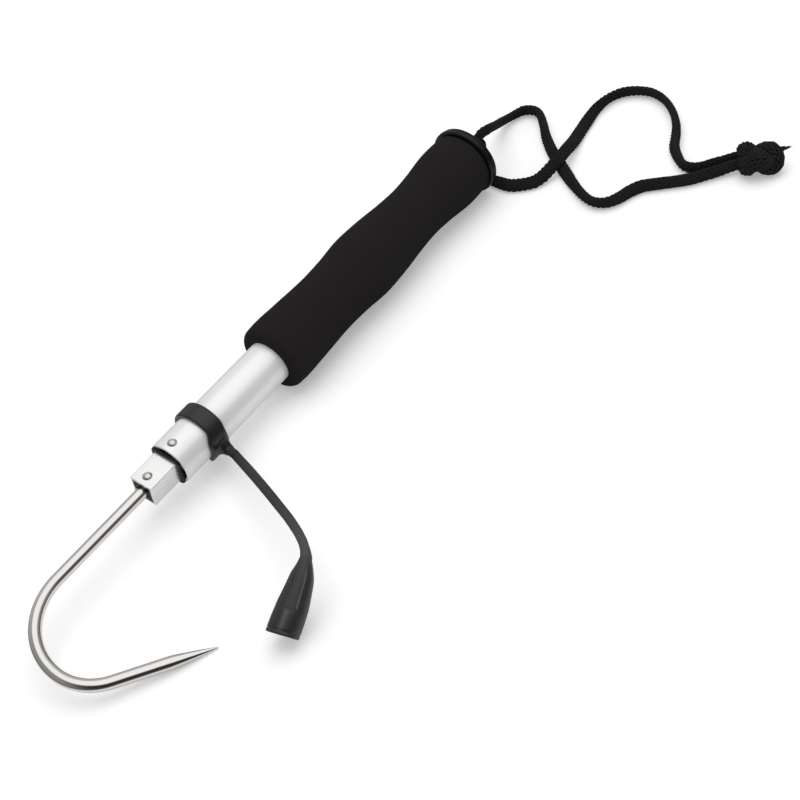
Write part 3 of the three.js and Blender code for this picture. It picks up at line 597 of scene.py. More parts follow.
def laid(route):
    """The line of a flat cord that lies on the table, and its half axes, seen as wide as the photograph shows it."""
    line = smooth_line(route, 1.0)
    points = [p.to_3d() for p in line]
    last = len(points) - 1
    ways, sizes = [], []
    for i, (point, along, given) in enumerate(zip(points, tangents(points), line)):
        sight = (point - CAMERA_PLACE).normalized()
        # The cord's run in the picture, from points near by, or farther off where the camera looks along it
        near, far = (points[min(i + k, last)] - points[max(i - k, 0)] for k in (2, 14))
        near -= sight * near.dot(sight)
        far -= sight * far.dot(sight)
        across = (near * near.length_squared + far * 0.1).cross(sight)
        across = (across - along * across.dot(along)).normalized()
        share = ramp(given.w, 0.0, 1.0)
        way = across * math.sqrt(share) + along.cross(across) * math.sqrt(1 - share)
        ways.append(-way if ways and way.dot(ways[-1]) < 0 else way)
        free = ramp(math.hypot(point.x - EYE_MIDDLE_X, point.y), EYE_SQUEEZE, EYE_RELEASE)
        sizes.append((mix(EYE_WIDE, CORD_WIDE, free), mix(EYE_THIN, CORD_THIN, free)))
    across = sections(points, ways, sizes)
    rested = []
    for point, (wide, thin) in zip(points, across):
        lift = point.z - TABLE_REST
        # Near the table the cord lies on its own underside, and a hump over another run is a little lower
        height = point.z + (math.hypot(wide.z, thin.z) + 0.04 - TABLE_REST) * ramp(lift, 6.0, 1.0)
        height -= 1.2 * ramp(lift, 0.0, 6.0) * ramp(lift, 14.0, 6.0)
        # The point stays where the camera sees it
        rested.append(CAMERA_PLACE + (point - CAMERA_PLACE) * ((height - CAMERA_PLACE.z) / (point.z - CAMERA_PLACE.z)))
    return rested, across


CORD_SIZES = {
    "Strands": 16, "Lay": 0.0205, "Strand Radius": 0.00062, "Weave": 0.12, "Spread": 0.15, "Step": 0.0007,
    "Wander": 0.05}
KNOT_SIZES = {**CORD_SIZES, "Strands": 20, "Lay": 0.03, "Strand Radius": 0.0007}


def braid_tree():
    """A tree that braids strands round a route: half of them turn one way, half the other, two over and two under."""
    tree = bpy.data.node_groups.new("braid", "GeometryNodeTree")
    kinds = {"Geometry": "Geometry", **{name: "Float" for name in CORD_SIZES}, "Strands": "Int", "Yarn": "Material"}
    sockets = {}
    for name, kind in kinds.items():
        socket = tree.interface.new_socket(name, in_out="INPUT", socket_type="NodeSocket" + kind)
        sockets[name] = socket.identifier
    tree.interface.new_socket("Geometry", in_out="OUTPUT", socket_type="NodeSocketGeometry")

    def node(kind, settings=None, inputs=None):
        return add_node(tree, kind, settings, inputs)

    def reading(socket):
        return Reading(tree, socket)

    given = node("NodeGroupInput")
    route = node("GeometryNodeMeshToCurve", {}, {"Mesh": given["Geometry"]})[0]
    length = reading(node("GeometryNodeCurveLength", {}, {"Curve": route})[0])
    strands, lay, weave, spread, wander = (
        reading(given[name]) for name in ("Strands", "Lay", "Weave", "Spread", "Wander"))

    line = node("GeometryNodeCurvePrimitiveLine", {}, {"Start": (0, 0, 0), "End": (1, 0, 0)})[0]
    fine = node("GeometryNodeResampleCurve", {"mode": "COUNT"}, {
        "Curve": line, "Count": (length / reading(given["Step"])).math("ROUND")})[0]
    copies = node("GeometryNodeDuplicateElements", {"domain": "SPLINE"}, {"Geometry": fine, "Amount": strands})
    along = reading(node("GeometryNodeSplineParameter")["Factor"]) * length
    numbered = node("GeometryNodeStoreNamedAttribute", {"data_type": "INT", "domain": "CURVE"}, {
        "Geometry": copies["Geometry"], "Name": "strand", "Value": copies["Duplicate Index"]})[0]
    strand = reading(node("GeometryNodeInputNamedAttribute", {"data_type": "INT"}, {"Name": "strand"})["Attribute"])

    # Which way the strand turns, and its place among those that turn the same way
    way = 1 - strand.math("MODULO", 2) * 2
    rank = (strand / 2).math("FLOOR")
    angle = rank / (strands / 2) * (2 * math.pi) + along / lay * (2 * math.pi) * way
    # Evenly spaced round a flat section
    angle = angle + (angle * 2).math("SINE") * spread
    # Over two and under two: the crossings counted along the cord, shifted by the strand's rank
    phase = along * strands / lay * way + rank * 2 - 0.5
    lift = (phase * (math.pi / 2)).math("COSINE") * way * weave
    drift = reading(node("ShaderNodeTexNoise", {"noise_dimensions": "1D"}, {
        "W": along * 60, "Scale": 1.0, "Detail": 1.0})[0])
    reach = (1 + lift) * (1 + (drift - 0.5) * (wander * 2))

    def sampled(name):
        kept = node("GeometryNodeInputNamedAttribute", {"data_type": "FLOAT_VECTOR"}, {"Name": name})["Attribute"]
        return node("GeometryNodeSampleCurve", {"mode": "LENGTH", "data_type": "FLOAT_VECTOR"}, {
            "Curves": route, "Length": along, "Value": kept})

    def scaled(way, amount):
        return node("ShaderNodeVectorMath", {"operation": "SCALE"}, {0: way, "Scale": amount})[0]

    def added(first, second):
        return node("ShaderNodeVectorMath", {"operation": "ADD"}, {0: first, 1: second})[0]

    wide, thin = sampled("wide"), sampled("thin")
    offset = added(
        scaled(wide["Value"], reach * angle.math("COSINE")), scaled(thin["Value"], reach * angle.math("SINE")))
    braid = node("GeometryNodeSetPosition", {}, {"Geometry": numbered, "Position": added(wide["Position"], offset)})[0]
    ring = node("GeometryNodeCurvePrimitiveCircle", {}, {"Resolution": 6, "Radius": given["Strand Radius"]})[0]

    def marked(geometry, name, value):
        return node("GeometryNodeStoreNamedAttribute", {"data_type": "FLOAT", "domain": "POINT"}, {
            "Geometry": geometry, "Name": name, "Value": value})[0]

    around = node("GeometryNodeSplineParameter")["Factor"]
    tubes = node("GeometryNodeCurveToMesh", {}, {
        "Curve": marked(braid, "along", along), "Profile Curve": marked(ring, "around", around),
        "Fill Caps": True})[0]
    smooth = node("GeometryNodeSetShadeSmooth", {}, {"Geometry": tubes})[0]
    real = node("GeometryNodeRealizeInstances", {}, {"Geometry": smooth})[0]
    yarn = node("GeometryNodeSetMaterial", {}, {"Geometry": real, "Material": given["Yarn"]})[0]
    node("NodeGroupOutput", {}, {0: yarn})
    return tree, sockets


BRAID, BRAID_SOCKETS = braid_tree()


def braided(name, points, across, place, sizes):
    """A braided cord round a line of points with its half axes, in millimetres, as one plain mesh in metres."""
    inset = sizes["Strand Radius"] / MM * 1.3
    inner = [(wide * (1 - inset / wide.length), thin * (1 - inset / thin.length)) for wide, thin in across]
    mesh = bpy.data.meshes.new(name)
    mesh.from_pydata([place @ p for p in points], [(i, i + 1) for i in range(len(points) - 1)], [])
    turn = place.to_3x3()
    for side, key in enumerate(("wide", "thin")):
        kept = mesh.attributes.new(key, "FLOAT_VECTOR", "POINT")
        kept.data.foreach_set("vector", [number for pair in inner for number in turn @ pair[side]])
    cord = linked(name, mesh)
    change = cord.modifiers.new("braid", "NODES")
    change.node_group = BRAID
    for key, value in {**sizes, "Yarn": YARN_FINISH}.items():
        change[BRAID_SOCKETS[key]] = value
    baked(cord)
    # A dark core, so that nothing shows through between the strands
    rings = [oval(point, wide * 0.93, thin * 0.88, 16) for (wide, thin), point in zip(inner, points)]
    return joined(cord, moulded("core", skin(rings), place, CORE_FINISH))


# The knot lies along the last run of the cord. Its turns reach this far from its middle, along, across and up
KNOT_PLACE = TABLE @ Matrix.Translation((276.5, -128.2, 7.4)) @ Matrix.Rotation(math.atan2(-0.971, 0.237), 4, "Z")
KNOT_REACH, KNOT_HALF_AXES, KNOT_TILT = (8.6, 5.9, 3.5), (4.3, 3.6), math.radians(-20)
FILLING_REACH = (9.6, 7.4, 5.4)


def knot_line():
    """The stopper knot's turns: an overhand loop pulled tight, its flat side outwards."""
    points = []
    for t in (2 * math.pi * share for share in shares(160)):
        lobe = Matrix.Rotation(KNOT_TILT, 2) @ Vector((
            (math.sin(t) + 2 * math.sin(2 * t)) / 3, (math.cos(t) - 2 * math.cos(2 * t)) / 3))
        points.append(Vector((*lobe, -math.sin(3 * t))) * Vector(KNOT_REACH))
    ways = [along.cross((p * Vector((0.6, 0.8, 2.0))).normalized()) for p, along in zip(points, tangents(points))]
    return points, sections(points, ways, [KNOT_HALF_AXES] * len(points))


def knot_body():
    """The turns, what fills the middle of them, and the short frayed tail that stands out of them."""
    body = braided("lanyard_stopper_knot", *knot_line(), KNOT_PLACE, KNOT_SIZES)
    length, width, height = FILLING_REACH
    rings = []
    for t in (math.pi * share for share in shares(24)):
        swell = max(math.sin(t), 0.02)
        rings.append(oval(X * (-length * math.cos(t)), Y * (width * swell), Z * (height * swell), 28))
    filling = moulded("filling", skin(rings), KNOT_PLACE, YARN_FINISH)
    return joined(body, filling, *frayed_tail())


def frayed_tail():
    """Strands of the cut end: they leave the knot together and part towards their tips."""
    strands = []
    start, aim = Vector((9.6, 5.0, 1.8)), Vector((0.95, 0.27, 0.08)).normalized()
    side = aim.cross(Z).normalized()
    up = side.cross(aim)
    for k in range(11):
        away = side * math.cos(2.4 * k) + up * math.sin(2.4 * k)
        reach, length = 0.35 + 0.16 * k ** 0.75, 7.6 - 0.42 * k + 0.6 * math.sin(5 * k)
        rings = []
        for share in shares(8):
            painted_bell_highlight = reach * (1.15 - 0.85 * share + 0.5 * share * share)
            middle = start + aim * (length * share - 2.2) + away * painted_bell_highlight + up * (0.8 * share * share)
            width = 0.62 * (1 - share) ** 0.7 + 0.05
            rings.append(oval(middle, side * width, up * width, 6))
        strands.append(moulded(f"tail_{k}", skin(rings), KNOT_PLACE, YARN_FINISH))
    return strands


knot = finished(knot_body(), "handle", "black_cord", "lanyard_knot")


def lay_cord(name, route, nodes):
    points, across = laid(route)
    cord = braided(name, points, across, TABLE, CORD_SIZES)
    path = [TABLE @ p for p in points]
    finished(cord, "handle", "black_cord", *nodes)
    sum((b - a).length for a, b in zip(path, path[1:]))


lay_cord("lanyard_upper_cord", upper_route, ["lanyard_bight", "lanyard_upper_leg"])
lay_cord("lanyard_lower_cord", lower_route, ["lanyard_lower_leg"])


# tubes and their fittings

TUBE_RADIUS, BORE_RADIUS, TUBE_LENGTH = 10.5, 9.3, 217.0
SQUARE_HALF, SQUARE_BORE_HALF, SQUARE_REACH, SQUARE_TAIL = 6.0, 5.0, 16.8, 187.5
BUTTON_RADIUS, BUTTON_PROUD, BUTTON_SETBACK = 2.1, 1.0, 4.4
BUTTON_ROOM = BUTTON_RADIUS + 0.08
OUTER_BUTTON_X, INNER_BUTTON_X = BUTTON_SETBACK, BUTTON_SETBACK - SQUARE_REACH
LEAF_LENGTH = 11.5


def upright(points, x):
    """A turned shape that stands across the pole, in the line of a button's travel."""
    bm = lathe(points, 48, loop=False)
    bm.transform(Matrix.Translation((x, 0, 0)) @ Matrix.Rotation(-math.pi / 2, 4, "Y"))
    return bm


def button_hole(x, high):
    """A cutter for the hole that a button travels in."""
    return moulded("cutter", upright([(0, 0), (0, BUTTON_ROOM), (high, BUTTON_ROOM), (high, 0)], x), POLE)


def leaf_pocket(button_x, width, floor, top):
    """A cutter for the room round a leaf spring and its travel."""
    low = Vector((button_x - BUTTON_RADIUS - 2 * SEAT_GAP, -width / 2 - SEAT_GAP, floor))
    high = Vector((low.x + LEAF_LENGTH + 2 * SEAT_GAP, width / 2 + SEAT_GAP, top))
    bm = bmesh.new()
    bmesh.ops.create_cube(bm, size=1.0, matrix=Matrix.LocRotScale((low + high) / 2, None, high - low))
    return moulded("cutter", bm, POLE)


def square_tube():
    """The square tube, its front edge eased."""
    front, bore = -SQUARE_REACH, squared(SQUARE_BORE_HALF, 0.35, 6)
    eased, section = squared(SQUARE_HALF - 0.14, 0.4, 6), squared(SQUARE_HALF, 0.5, 6)
    return bar([(front, bore), (front, eased), (front + 0.16, section), (SQUARE_TAIL, section), (SQUARE_TAIL, bore)])


def bush():
    """The plastic bush in the outer tube's mouth: a rounded lip round a square way."""
    depth, spigot, front, lip, ease = 15.0, 9.0, -1.3, 10.2, 0.45
    way = squared(SQUARE_HALF + SEAT_GAP, 1.3, 10)
    stations = [
        (depth, way), (depth, circle_like(way, spigot)), (-SEAT_GAP, circle_like(way, spigot)),
        (-SEAT_GAP, circle_like(way, lip))]
    stations += [(front + ease * (1 - s), circle_like(way, lip - ease * (1 - c))) for s, c in quarter(6)]
    return bar(stations + [(front, squared(SQUARE_HALF + SEAT_GAP + 0.25, 1.5, 10)), (front + 0.25, way)])


def mouth_plug():
    """The plug in the square tube's mouth, with a round way for the rod."""
    front, back = 0.4 - SQUARE_REACH, 14.4 - SQUARE_REACH
    block = squared(SQUARE_BORE_HALF - SEAT_GAP, 0.5, 10)
    way = circle_like(block, 3.05)
    return bar([(front, block), (back, block), (back, way), (front + 0.5, way), (front, circle_like(block, 3.55))])


outline = filleted([
    (0, BORE_RADIUS, 0.15), (0, TUBE_RADIUS, 0.38), (TUBE_LENGTH, TUBE_RADIUS, 0.3), (TUBE_LENGTH, BORE_RADIUS, 0.15)])
outer = moulded("outer_tube_skin", lathe(outline, 160), POLE, TUBE_FINISH)
carved(outer, "DIFFERENCE", button_hole(OUTER_BUTTON_X, TUBE_RADIUS + 2), 30)
finished(outer, "handle", "tube_aluminium", "outer_tube")

inner = moulded("inner_tube_skin", square_tube(), POLE, SQUARE_FINISH)
carved(inner, "DIFFERENCE", button_hole(INNER_BUTTON_X, SQUARE_HALF + 2), 24)
finished(inner, "inner_section", "tube_aluminium", "inner_tube")

mouth_bush = moulded("mouth_bush_skin", bush(), POLE, BUSH_FINISH)
carved(mouth_bush, "DIFFERENCE", leaf_pocket(OUTER_BUTTON_X, 5.2, 7.1, BORE_RADIUS + 1), 32)
finished(mouth_bush, "handle", "black_plastic", "mouth_bush")

inner_plug = moulded("mouth_plug_skin", mouth_plug(), POLE, BUSH_FINISH)
carved(inner_plug, "DIFFERENCE", leaf_pocket(INNER_BUTTON_X, 4.0, 3.5, SQUARE_HALF + 1), 32)
finished(inner_plug, "inner_section", "black_plastic", "inner_mouth_plug")


def snap_button(name, x, foot, surface, body, node):
    """A turned button: a short post, a small rolled edge and a domed head."""
    crown = surface + BUTTON_PROUD
    swing = math.radians(48)
    dome = (BUTTON_RADIUS - 0.12) / math.sin(swing)
    shoulder = crown - dome * (1 - math.cos(swing))
    points = [
        (foot, 0), (foot, BUTTON_RADIUS), (shoulder - 0.16, BUTTON_RADIUS), (shoulder - 0.05, BUTTON_RADIUS - 0.03)]
    for angle in (swing * (1 - share) for share in shares(24)):
        points.append((crown - dome * (1 - math.cos(angle)), dome * math.sin(angle)))
    finished(moulded(name, upright(points, x), POLE, DOME_FINISH, 40), body, "polished_steel", node)


snap_button("outer_button_dome", OUTER_BUTTON_X, 8.9, TUBE_RADIUS, "outer_button", "outer_snap_button")
snap_button("inner_button_dome", INNER_BUTTON_X, 5.0, SQUARE_HALF, "inner_button", "inner_snap_button")


# hook

def hook_rod():
    """The bent rod: a long straight shank, an open bend, a tighter one, and a leg ground to a bellied point."""
    radius, tail, straight, open_radius, tight_radius = 2.75, 148.1, 68.2, 30.7, 23.6
    open_angle, whole_angle = math.radians(89), math.radians(145)
    leg, taper, tip = 41.9, 19.0, 0.32
    # Each entry is a place in the hook's plane, the rod's direction there and its radius
    line = [(-tail, 0.0, 0.0, radius)] + [(straight * share, 0.0, 0.0, radius) for share in shares(30)[1:]]
    gap = open_radius - tight_radius
    for u, v, bend, start, end, count in (
            (straight, open_radius, open_radius, 0.0, open_angle, 60),
            (straight + gap * math.sin(open_angle), open_radius - gap * math.cos(open_angle), tight_radius,
             open_angle, whole_angle, 40)):
        for angle in (mix(start, end, share) for share in shares(count)[1:]):
            line.append((u + bend * math.sin(angle), v - bend * math.cos(angle), angle, radius))
    end_u, end_v = line[-1][:2]
    point = [(leg - taper * (1 - share), mix(radius, tip, share ** 1.25)) for share in shares(36)]
    point += [(leg + tip * share, tip * math.sqrt(1 - share * share)) for share in (0.5, 0.8)]
    for length, at in point:
        line.append((
            end_u + length * math.cos(whole_angle), end_v + length * math.sin(whole_angle), whole_angle, at))
    rings, measures = [], []
    walked, last = 0.0, line[0]
    for u, v, angle, at in line:
        walked += math.hypot(u - last[0], v - last[1])
        last = (u, v)
        # The streaks of the finish run along the rod, so its UV map counts the way along it
        measures.append(walked * 0.01)
        rings.append(oval(Vector((-u, -v, 0)), Vector((math.sin(angle), -math.cos(angle), 0)) * at, Z * at, 48))
    return skin(rings, False, measures)


finished(moulded("hook_rod_skin", hook_rod(), POLE, HOOK_FINISH, 40), "hook_rod", "polished_steel", "hook")


# grip and butt cap

GRIP_SETBACK, GRIP_LENGTH, GRIP_RADIUS = 67.0, 150.0, 17.0
GRIP_SHARES = [
    (0, 0.95), (0.05, 0.985), (0.14, 0.955), (0.27, 0.905), (0.36, 0.93), (0.45, 0.995), (0.55, 0.96),
    (0.65, 0.88), (0.735, 0.845), (0.81, 0.885), (0.9, 0.975), (0.955, 0.978), (1, 0.955),
]


def grip_outline():
    """The grip from its rounded front edge, over its waves, to its tighter rear edge."""
    front, rear, seat = 3.2, 1.2, TUBE_RADIUS + SEAT_GAP
    swell = smooth_line([(x * GRIP_LENGTH, r * GRIP_RADIUS, 0) for x, r in GRIP_SHARES], 1.2)
    start = next(p for p in swell if p.x >= front)
    end = [p for p in swell if p.x <= GRIP_LENGTH - rear][-1]
    points = [(0, seat)] + [(front * (1 - s), start.y - front * (1 - c)) for s, c in reversed(quarter(12))]
    points += [(p.x, p.y) for p in swell if start.x < p.x < end.x]
    points += [(GRIP_LENGTH - rear * (1 - s), end.y - rear * (1 - c)) for s, c in quarter(8)]
    return [(GRIP_SETBACK + x, radius) for x, radius in points + [(GRIP_LENGTH, seat)]]


grip = moulded("foam_grip", lathe(grip_outline(), 160), POLE, FOAM_FINISH, 40)
finished(grip, "handle", "grip_foam", "grip")

FLANGE_X = TUBE_LENGTH + SEAT_GAP
FLANGE_BACK_X = FLANGE_X + 4.4
EYE_X = FLANGE_BACK_X + 5.8


def eye_tab():
    """The lanyard's eye: a round-ended tab with a hole, all its edges eased."""
    shape = bpy.data.curves.new("eye", "CURVE")
    shape.dimensions, shape.fill_mode = "2D", "BOTH"
    radius, hole, ease, half_thickness = 6.0, 3.2, 1.0, 4.5
    rim = [(EYE_X + radius * math.sin(a), -radius * math.cos(a)) for a in (math.pi * share for share in shares(40))]
    rim = [(FLANGE_BACK_X - 2, -radius), *rim, (FLANGE_BACK_X - 2, radius)]
    bore = [(EYE_X + hole * math.cos(a), hole * math.sin(a)) for a in angles(40)]
    for points in (rim, bore):
        spline = shape.splines.new("POLY")
        spline.points.add(len(points) - 1)
        for place, (x, y) in zip(spline.points, points):
            place.co = (x, y, 0, 1)
        spline.use_cyclic_u = True
    shape.extrude, shape.bevel_depth, shape.bevel_resolution, shape.offset = half_thickness - ease, ease, 4, -ease
    flat = linked("eye", shape)
    bm = bmesh.new()
    bm.from_mesh(shown_mesh(flat))
    bpy.data.objects.remove(flat)
    return moulded("eye_tab", bm, POLE)


def cap_outline():
    """The butt cap from its spigot to its flange: a rolled rim, a fine groove and a raised ring round the back."""
    spigot_x, spigot, rim, groove, back = 203, 9, 17.75, 16.95, 17.35
    groove_x, floor_x = FLANGE_X + 2.7, FLANGE_X + SEAT_GAP
    return filleted([
        (spigot_x, 7, 0.2), (spigot_x, spigot, 0.7), (FLANGE_X, spigot, 0), (FLANGE_X, rim, 1.1), (groove_x, rim, 0.5),
        (groove_x, groove, 0.15), (groove_x + 0.4, groove, 0.15), (groove_x + 0.4, back, 0.25),
        (FLANGE_BACK_X, back, 0.6), (FLANGE_BACK_X, 0, 0), (floor_x, 0, 0), (floor_x, 7, 0)], 7)


butt = moulded("butt_cap_skin", lathe(cap_outline(), 144), POLE, PLASTIC_FINISH)
carved(butt, "UNION", eye_tab(), 34)
finished(butt, "handle", "black_plastic", "butt_cap")


# point guard

COLLAR_X, COLLAR_WIDTH, COLLAR_RIM = 17.1, 8.6, 12.6
LUG_X, LUG_FOOT, LUG_REACH = 20.8, 11.7, 3.4
# Full sizes of the lug along and across the collar, at its tip and where it flares into the ring
LUG_TIP, LUG_FLARE = (4.9, 3.5), (7.4, 11.0)
# How far the band runs forwards round the lug's foot, at its front edge and its rear edge
BAND_FORWARDS = (2.9, 1.0)


def collar_body():
    """The collar and its lug, which flares into the ring, merged and softened as one moulding."""
    rear, seat = COLLAR_X + COLLAR_WIDTH, TUBE_RADIUS + SEAT_GAP
    bm = lathe(filleted([
        (COLLAR_X, seat, 0.15), (COLLAR_X, COLLAR_RIM, 0.75), (rear, COLLAR_RIM, 0.75), (rear, seat, 0.15)]), 160)
    for vert in bm.verts:
        foot = step(-vert.co.y / math.hypot(vert.co.y, vert.co.z), 0.5, 0.95)
        vert.co.x -= foot * mix(*BAND_FORWARDS, (vert.co.x - COLLAR_X) / COLLAR_WIDTH)
    band = moulded("guard_collar_skin", bm, COLLAR, COLLAR_FINISH)
    rings = []
    for share in shares(16):
        depth = mix(LUG_FOOT, COLLAR_RIM + LUG_REACH, share)
        length, height = (mix(tip, flare, (1 - share) ** 2.0) / 2 for tip, flare in zip(LUG_TIP, LUG_FLARE))
        rings.append(oval(Vector((LUG_X, -depth, 0)), X * length, Z * height, 40, 0.72))
    carved(band, "UNION", moulded("lug", skin(rings), COLLAR), 60)
    shell = band.modifiers.new("mould", "REMESH")
    shell.mode, shell.voxel_size = "VOXEL", 0.00024
    ease = band.modifiers.new("ease", "SMOOTH")
    ease.factor, ease.iterations = 0.5, 7
    return crisp(baked(band), 60)


finished(collar_body(), "collar", "guard_rubber", "guard_collar")

CAP_DIP, CAP_LENGTH, CAP_LIP = 28, 30.2, 6.7
STRAP_HALF_WIDTH, STRAP_HALF_THICKNESS, STRAP_SQUARENESS = 1.95, 1.55, 0.74
aim = -towards(10, CAP_DIP)
# The cap's lip rests on the table, and its neck is a cap's length above it along its dip
neck_height = CAP_LIP * math.cos(math.radians(CAP_DIP)) + CAP_LENGTH * math.sin(math.radians(CAP_DIP))
neck = Vector((-13.8, -92.1, neck_height))
lug_way = Vector((0, -math.cos(LUG_DROP), -math.sin(LUG_DROP)))
root = Vector((LUG_X, 0, AXIS_HEIGHT)) + lug_way * (COLLAR_RIM + LUG_REACH + SEAT_GAP + STRAP_HALF_WIDTH)
launch = root + Vector((-7.3, -18.7, 3.3))
# The cap's radius along its length, and how far the moulding leans to the camera's left of its drawn line
CAP_RADII = [
    (0, 2.5), (1.5, 3.0), (3.0, 3.53), (4.5, 4.04), (6.0, 4.56), (7.5, 4.9), (9.1, 5.16), (12.1, 5.57), (15.1, 5.98),
    (17.3, 6.27), (19.4, 6.48),
]
STRAP_LEAN = [
    (0, 0.0), (0.1, -0.04), (0.2, -0.14), (0.5, -0.2), (0.6, -0.42), (0.72, -0.42), (0.8, -0.24), (0.86, 0.06),
    (0.93, 0.3), (1, 0.16),
]
CAP_LEAN = [
    (0, 0.16), (1.5, -0.08), (3, -0.26), (9, -0.48), (15, -0.34), (21, -0.08), (25, 0.2), (29, 0.44),
    (CAP_LENGTH, 0.46),
]
STRAP_HALF_WIDTHS = [
    (0, 1.98), (0.08, 2.0), (0.2, 2.06), (0.5, 1.98), (0.72, 1.92), (0.84, 1.9), (0.9, 2.08), (0.95, 2.3), (1, 2.5),
]


def read_off(table, x):
    """A value on the straight line between the two nearest entries of a table."""
    for (x0, y0), (x1, y1) in zip(table, table[1:]):
        if x <= x1:
            return mix(y0, y1, ramp(x, x0, x1))
    return table[-1][1]


def bezier(points, t):
    """A point on the curve that a few control points draw."""
    while len(points) > 1:
        points = [mix(a, b, t) for a, b in zip(points, points[1:])]
    return points[0]


def drawn(points, t):
    """A point on such a curve, and the curve's direction there."""
    return bezier(points, t), bezier([b - a for a, b in zip(points, points[1:])], t).normalized()


def leant(point, along, amount):
    """The point moved across its line, square to the camera's sight."""
    across = along.cross(point - CAMERA_PLACE).normalized()
    return point - across * (amount if across.dot(CAMERA_RIGHT) > 0 else -amount)


def guard_cap_outline():
    """The cap from its neck: a bell, a faint step, a nearly straight sleeve, a groove, a round lip and the bore."""
    points = [(p.x, p.y) for p in smooth_line([(x, r, 0) for x, r in CAP_RADII], 0.4) if p.x > 0.3]
    last, roll = points[-1][1], 0.75
    points += [(19.5, last + 0.03), (19.62, last - 0.1), (19.9, last - 0.1), (20.1, last - 0.02)]
    points += [(22.0, 6.58), (24.5, 6.66), (27.2, 6.68), (28.2, 6.66), (28.42, 6.5), (28.75, 6.5), (28.95, 6.66)]
    points += [(CAP_LENGTH - roll * (1 - s), 5.93 + roll * c) for s, c in quarter(8)[1:]]
    bore = [(0, 5.15), (0.2, 4.9), (0.8, 4.75), (22, 2.7), (23.2, 1.6), (23.6, 0)]
    return points + [(CAP_LENGTH - depth, radius) for depth, radius in bore]


def guard_moulding():
    """The strap's one smooth bow, which starts inside the lug and runs out into the cap's neck, and the cap."""
    sides, rings, measures = 72, [], []
    in_lug = [root - lug_way * 4.2, root - lug_way * 1.6, root]
    bow = [root, launch, neck - aim * 7.7, neck]
    line = [(*drawn(in_lug, i / 10), 0.0) for i in range(10)] + [(*drawn(bow, t), t) for t in shares(150)]
    for i, (middle, along, t) in enumerate(line):
        side = along.cross(Z).normalized()
        widen = step(t, 0.84, 1.0)
        swell = 0.05 * math.exp(-((i - 9) / 9) ** 2)
        half_width = read_off(STRAP_HALF_WIDTHS, t) + swell
        half_thickness = STRAP_HALF_THICKNESS + 0.93 * widen + swell
        rings.append(oval(
            leant(middle, along, read_off(STRAP_LEAN, t)), side * half_width, side.cross(along) * half_thickness,
            sides, mix(STRAP_SQUARENESS, 1.0, widen)))
        measures.append(t)
    side = aim.cross(Z).normalized()
    up = side.cross(aim)
    for x, radius in guard_cap_outline():
        middle = leant(neck + aim * x, aim, read_off(CAP_LEAN, x))
        rings.append(oval(middle, side * radius, up * radius, sides) if radius else [middle])
        measures.append(1 + x / CAP_LENGTH)
    return skin(rings, False, measures)


guard = moulded("point_guard", guard_moulding(), TABLE, GUARD_FINISH, 40)
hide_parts("guard_strap", "guard_cap")
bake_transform(guard)


# hidden nodes keep their own shape

for node, finish in {
    "outer_leaf_spring": SPRING_FINISH, "inner_leaf_spring": SPRING_FINISH, "tail_slider": SLIDER_FINISH,
    "tail_slider_pin": SPRING_FINISH, "rod_slider": SLIDER_FINISH, "rod_slider_pin": SPRING_FINISH,
}.items():
    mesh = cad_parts[node].data
    mesh.materials.clear()
    mesh.materials.append(finish)


# floor, light and background

WORLD_STRENGTH, FLOOR_GLOW, FLOOR_GLOW_REFLECTED = 0.58, 0.3, 0.04
WHITE = (1, 1, 1, 1)


def seen_rays(tree):
    """1 for a ray that shows a surface, from the camera, a reflection or glass, and then 1 for a reflection alone."""
    path = add_node(tree, "ShaderNodeLightPath")
    camera, glossy, through = (Reading(tree, path[f"Is {ray} Ray"]) for ray in ("Camera", "Glossy", "Transmission"))
    return camera.math("MAXIMUM", glossy).math("MAXIMUM", through), glossy


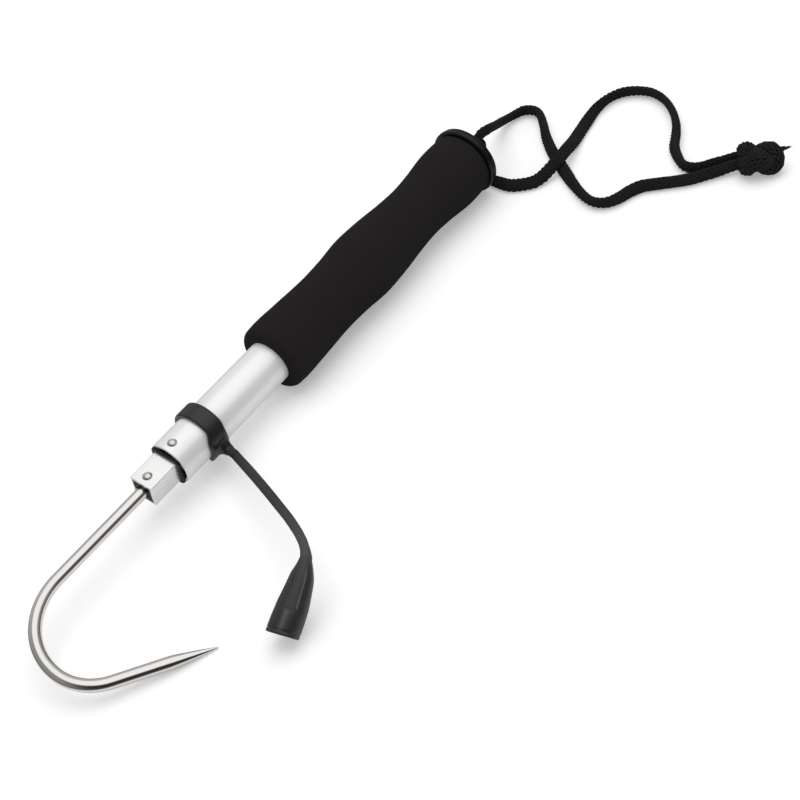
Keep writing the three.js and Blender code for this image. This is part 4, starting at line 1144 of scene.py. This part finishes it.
def studio():
    """A pale floor that keeps the shadow, a white surround, one wide soft lamp and a tent for the metal to show."""
    world = bpy.data.worlds.new("studio")
    bpy.context.scene.world = world
    world.use_nodes = True
    surround = world.node_tree.nodes["Background"].inputs
    seen, _ = seen_rays(world.node_tree)
    set_socket(world.node_tree, surround["Color"], WHITE)
    set_socket(world.node_tree, surround["Strength"], WORLD_STRENGTH + seen * (1 - WORLD_STRENGTH))

    bm = bmesh.new()
    bmesh.ops.create_grid(bm, x_segments=1, y_segments=1, size=4.0)
    paper = Finish("floor_paper", (0.86, 0.86, 0.86), 0.9, Specular_IOR_Level=0.0, Emission_Color=WHITE)
    floor = moulded("floor", bm, Matrix.Translation((0, 0, -0.0002)), paper.material)
    # Its own glow makes the paper white to the camera, and is weaker in reflections
    seen, glossy = seen_rays(paper.tree)
    paper.feed("Emission Strength", seen * (FLOOR_GLOW - glossy * (FLOOR_GLOW - FLOOR_GLOW_REFLECTED)))
    # A reflection that only grazes the paper shows a painted dark reflection: a flat dark glow that stands for the
    # darker studio beyond it
    graze = paper.node("ShaderNodeMapRange", {"interpolation_type": "SMOOTHSTEP"}, {
        "Value": paper.node("ShaderNodeLayerWeight")["Facing"], "From Min": 0.5, "From Max": 0.85})[0]
    painted_dark_reflection = paper.node("ShaderNodeEmission", {}, {"Color": (0.07, 0.07, 0.07, 1)})[0]
    either = paper.node("ShaderNodeMixShader", {}, {
        0: Reading(paper.tree, graze) * glossy, 1: paper.shader.outputs[0], 2: painted_dark_reflection})[0]
    set_socket(paper.tree, paper.tree.nodes["Material Output"].inputs["Surface"], either)
    tent()

    data = bpy.data.lights.new("wide_soft_lamp", "AREA")
    data.shape, data.size, data.energy = "DISK", 1.5, 7.6
    lamp = linked("wide_soft_lamp", data)
    lamp.location = (0.34, 0.05, 1.25)
    lamp.rotation_euler = (Vector((0.02, 0, 0)) - lamp.location).to_track_quat("-Z", "Y").to_euler()
    lamp.visible_glossy = False


def tent():
    """The cloth overhead and its darker sides, which only reflections show, as far off as a studio's walls."""
    bm = bmesh.new()
    bmesh.ops.create_uvsphere(bm, u_segments=64, v_segments=32, radius=3.0)
    bmesh.ops.reverse_faces(bm, faces=bm.faces)
    mesh = bpy.data.meshes.new("tent")
    bm.to_mesh(mesh)
    bm.free()
    cloth = bpy.data.materials.new("tent_cloth")
    cloth.use_nodes = True
    tree = cloth.node_tree
    tree.nodes.clear()
    way = add_node(tree, "ShaderNodeVectorMath", {"operation": "NORMALIZE"}, {
        0: add_node(tree, "ShaderNodeTexCoord")["Object"]})[0]

    def facing(direction, edge, full, outside, inside):
        """A smooth step over how near a point lies to a direction, seen from the middle, between two angles."""
        near = add_node(tree, "ShaderNodeVectorMath", {"operation": "DOT_PRODUCT"}, {0: way, 1: direction})["Value"]
        return Reading(tree, add_node(tree, "ShaderNodeMapRange", {"interpolation_type": "SMOOTHSTEP"}, {
            "Value": near, "From Min": math.cos(math.radians(edge)), "From Max": math.cos(math.radians(full)),
            "To Min": outside, "To Max": inside})[0])

    overhead = facing(towards(-35, 76), 54, 34, 0.0, 1.0)
    sides = facing(Vector((0.5, 0.86, 0.1)).normalized(), 72.542, 18.195, 0.27, 0.5)
    shade = facing(towards(-122, 22), 70, 25, 1.0, 0.11)
    level = overhead.math("MAXIMUM", sides * shade)
    glow = add_node(tree, "ShaderNodeEmission", {}, {"Color": WHITE, "Strength": level})[0]
    add_node(tree, "ShaderNodeOutputMaterial", {}, {"Surface": glow})
    dome = linked("tent", mesh, cloth)
    dome.visible_camera = dome.visible_diffuse = dome.visible_transmission = dome.visible_shadow = False
    dome.visible_volume_scatter = False
    return dome


studio()
bpy.context.scene.view_settings.view_transform = "Standard"
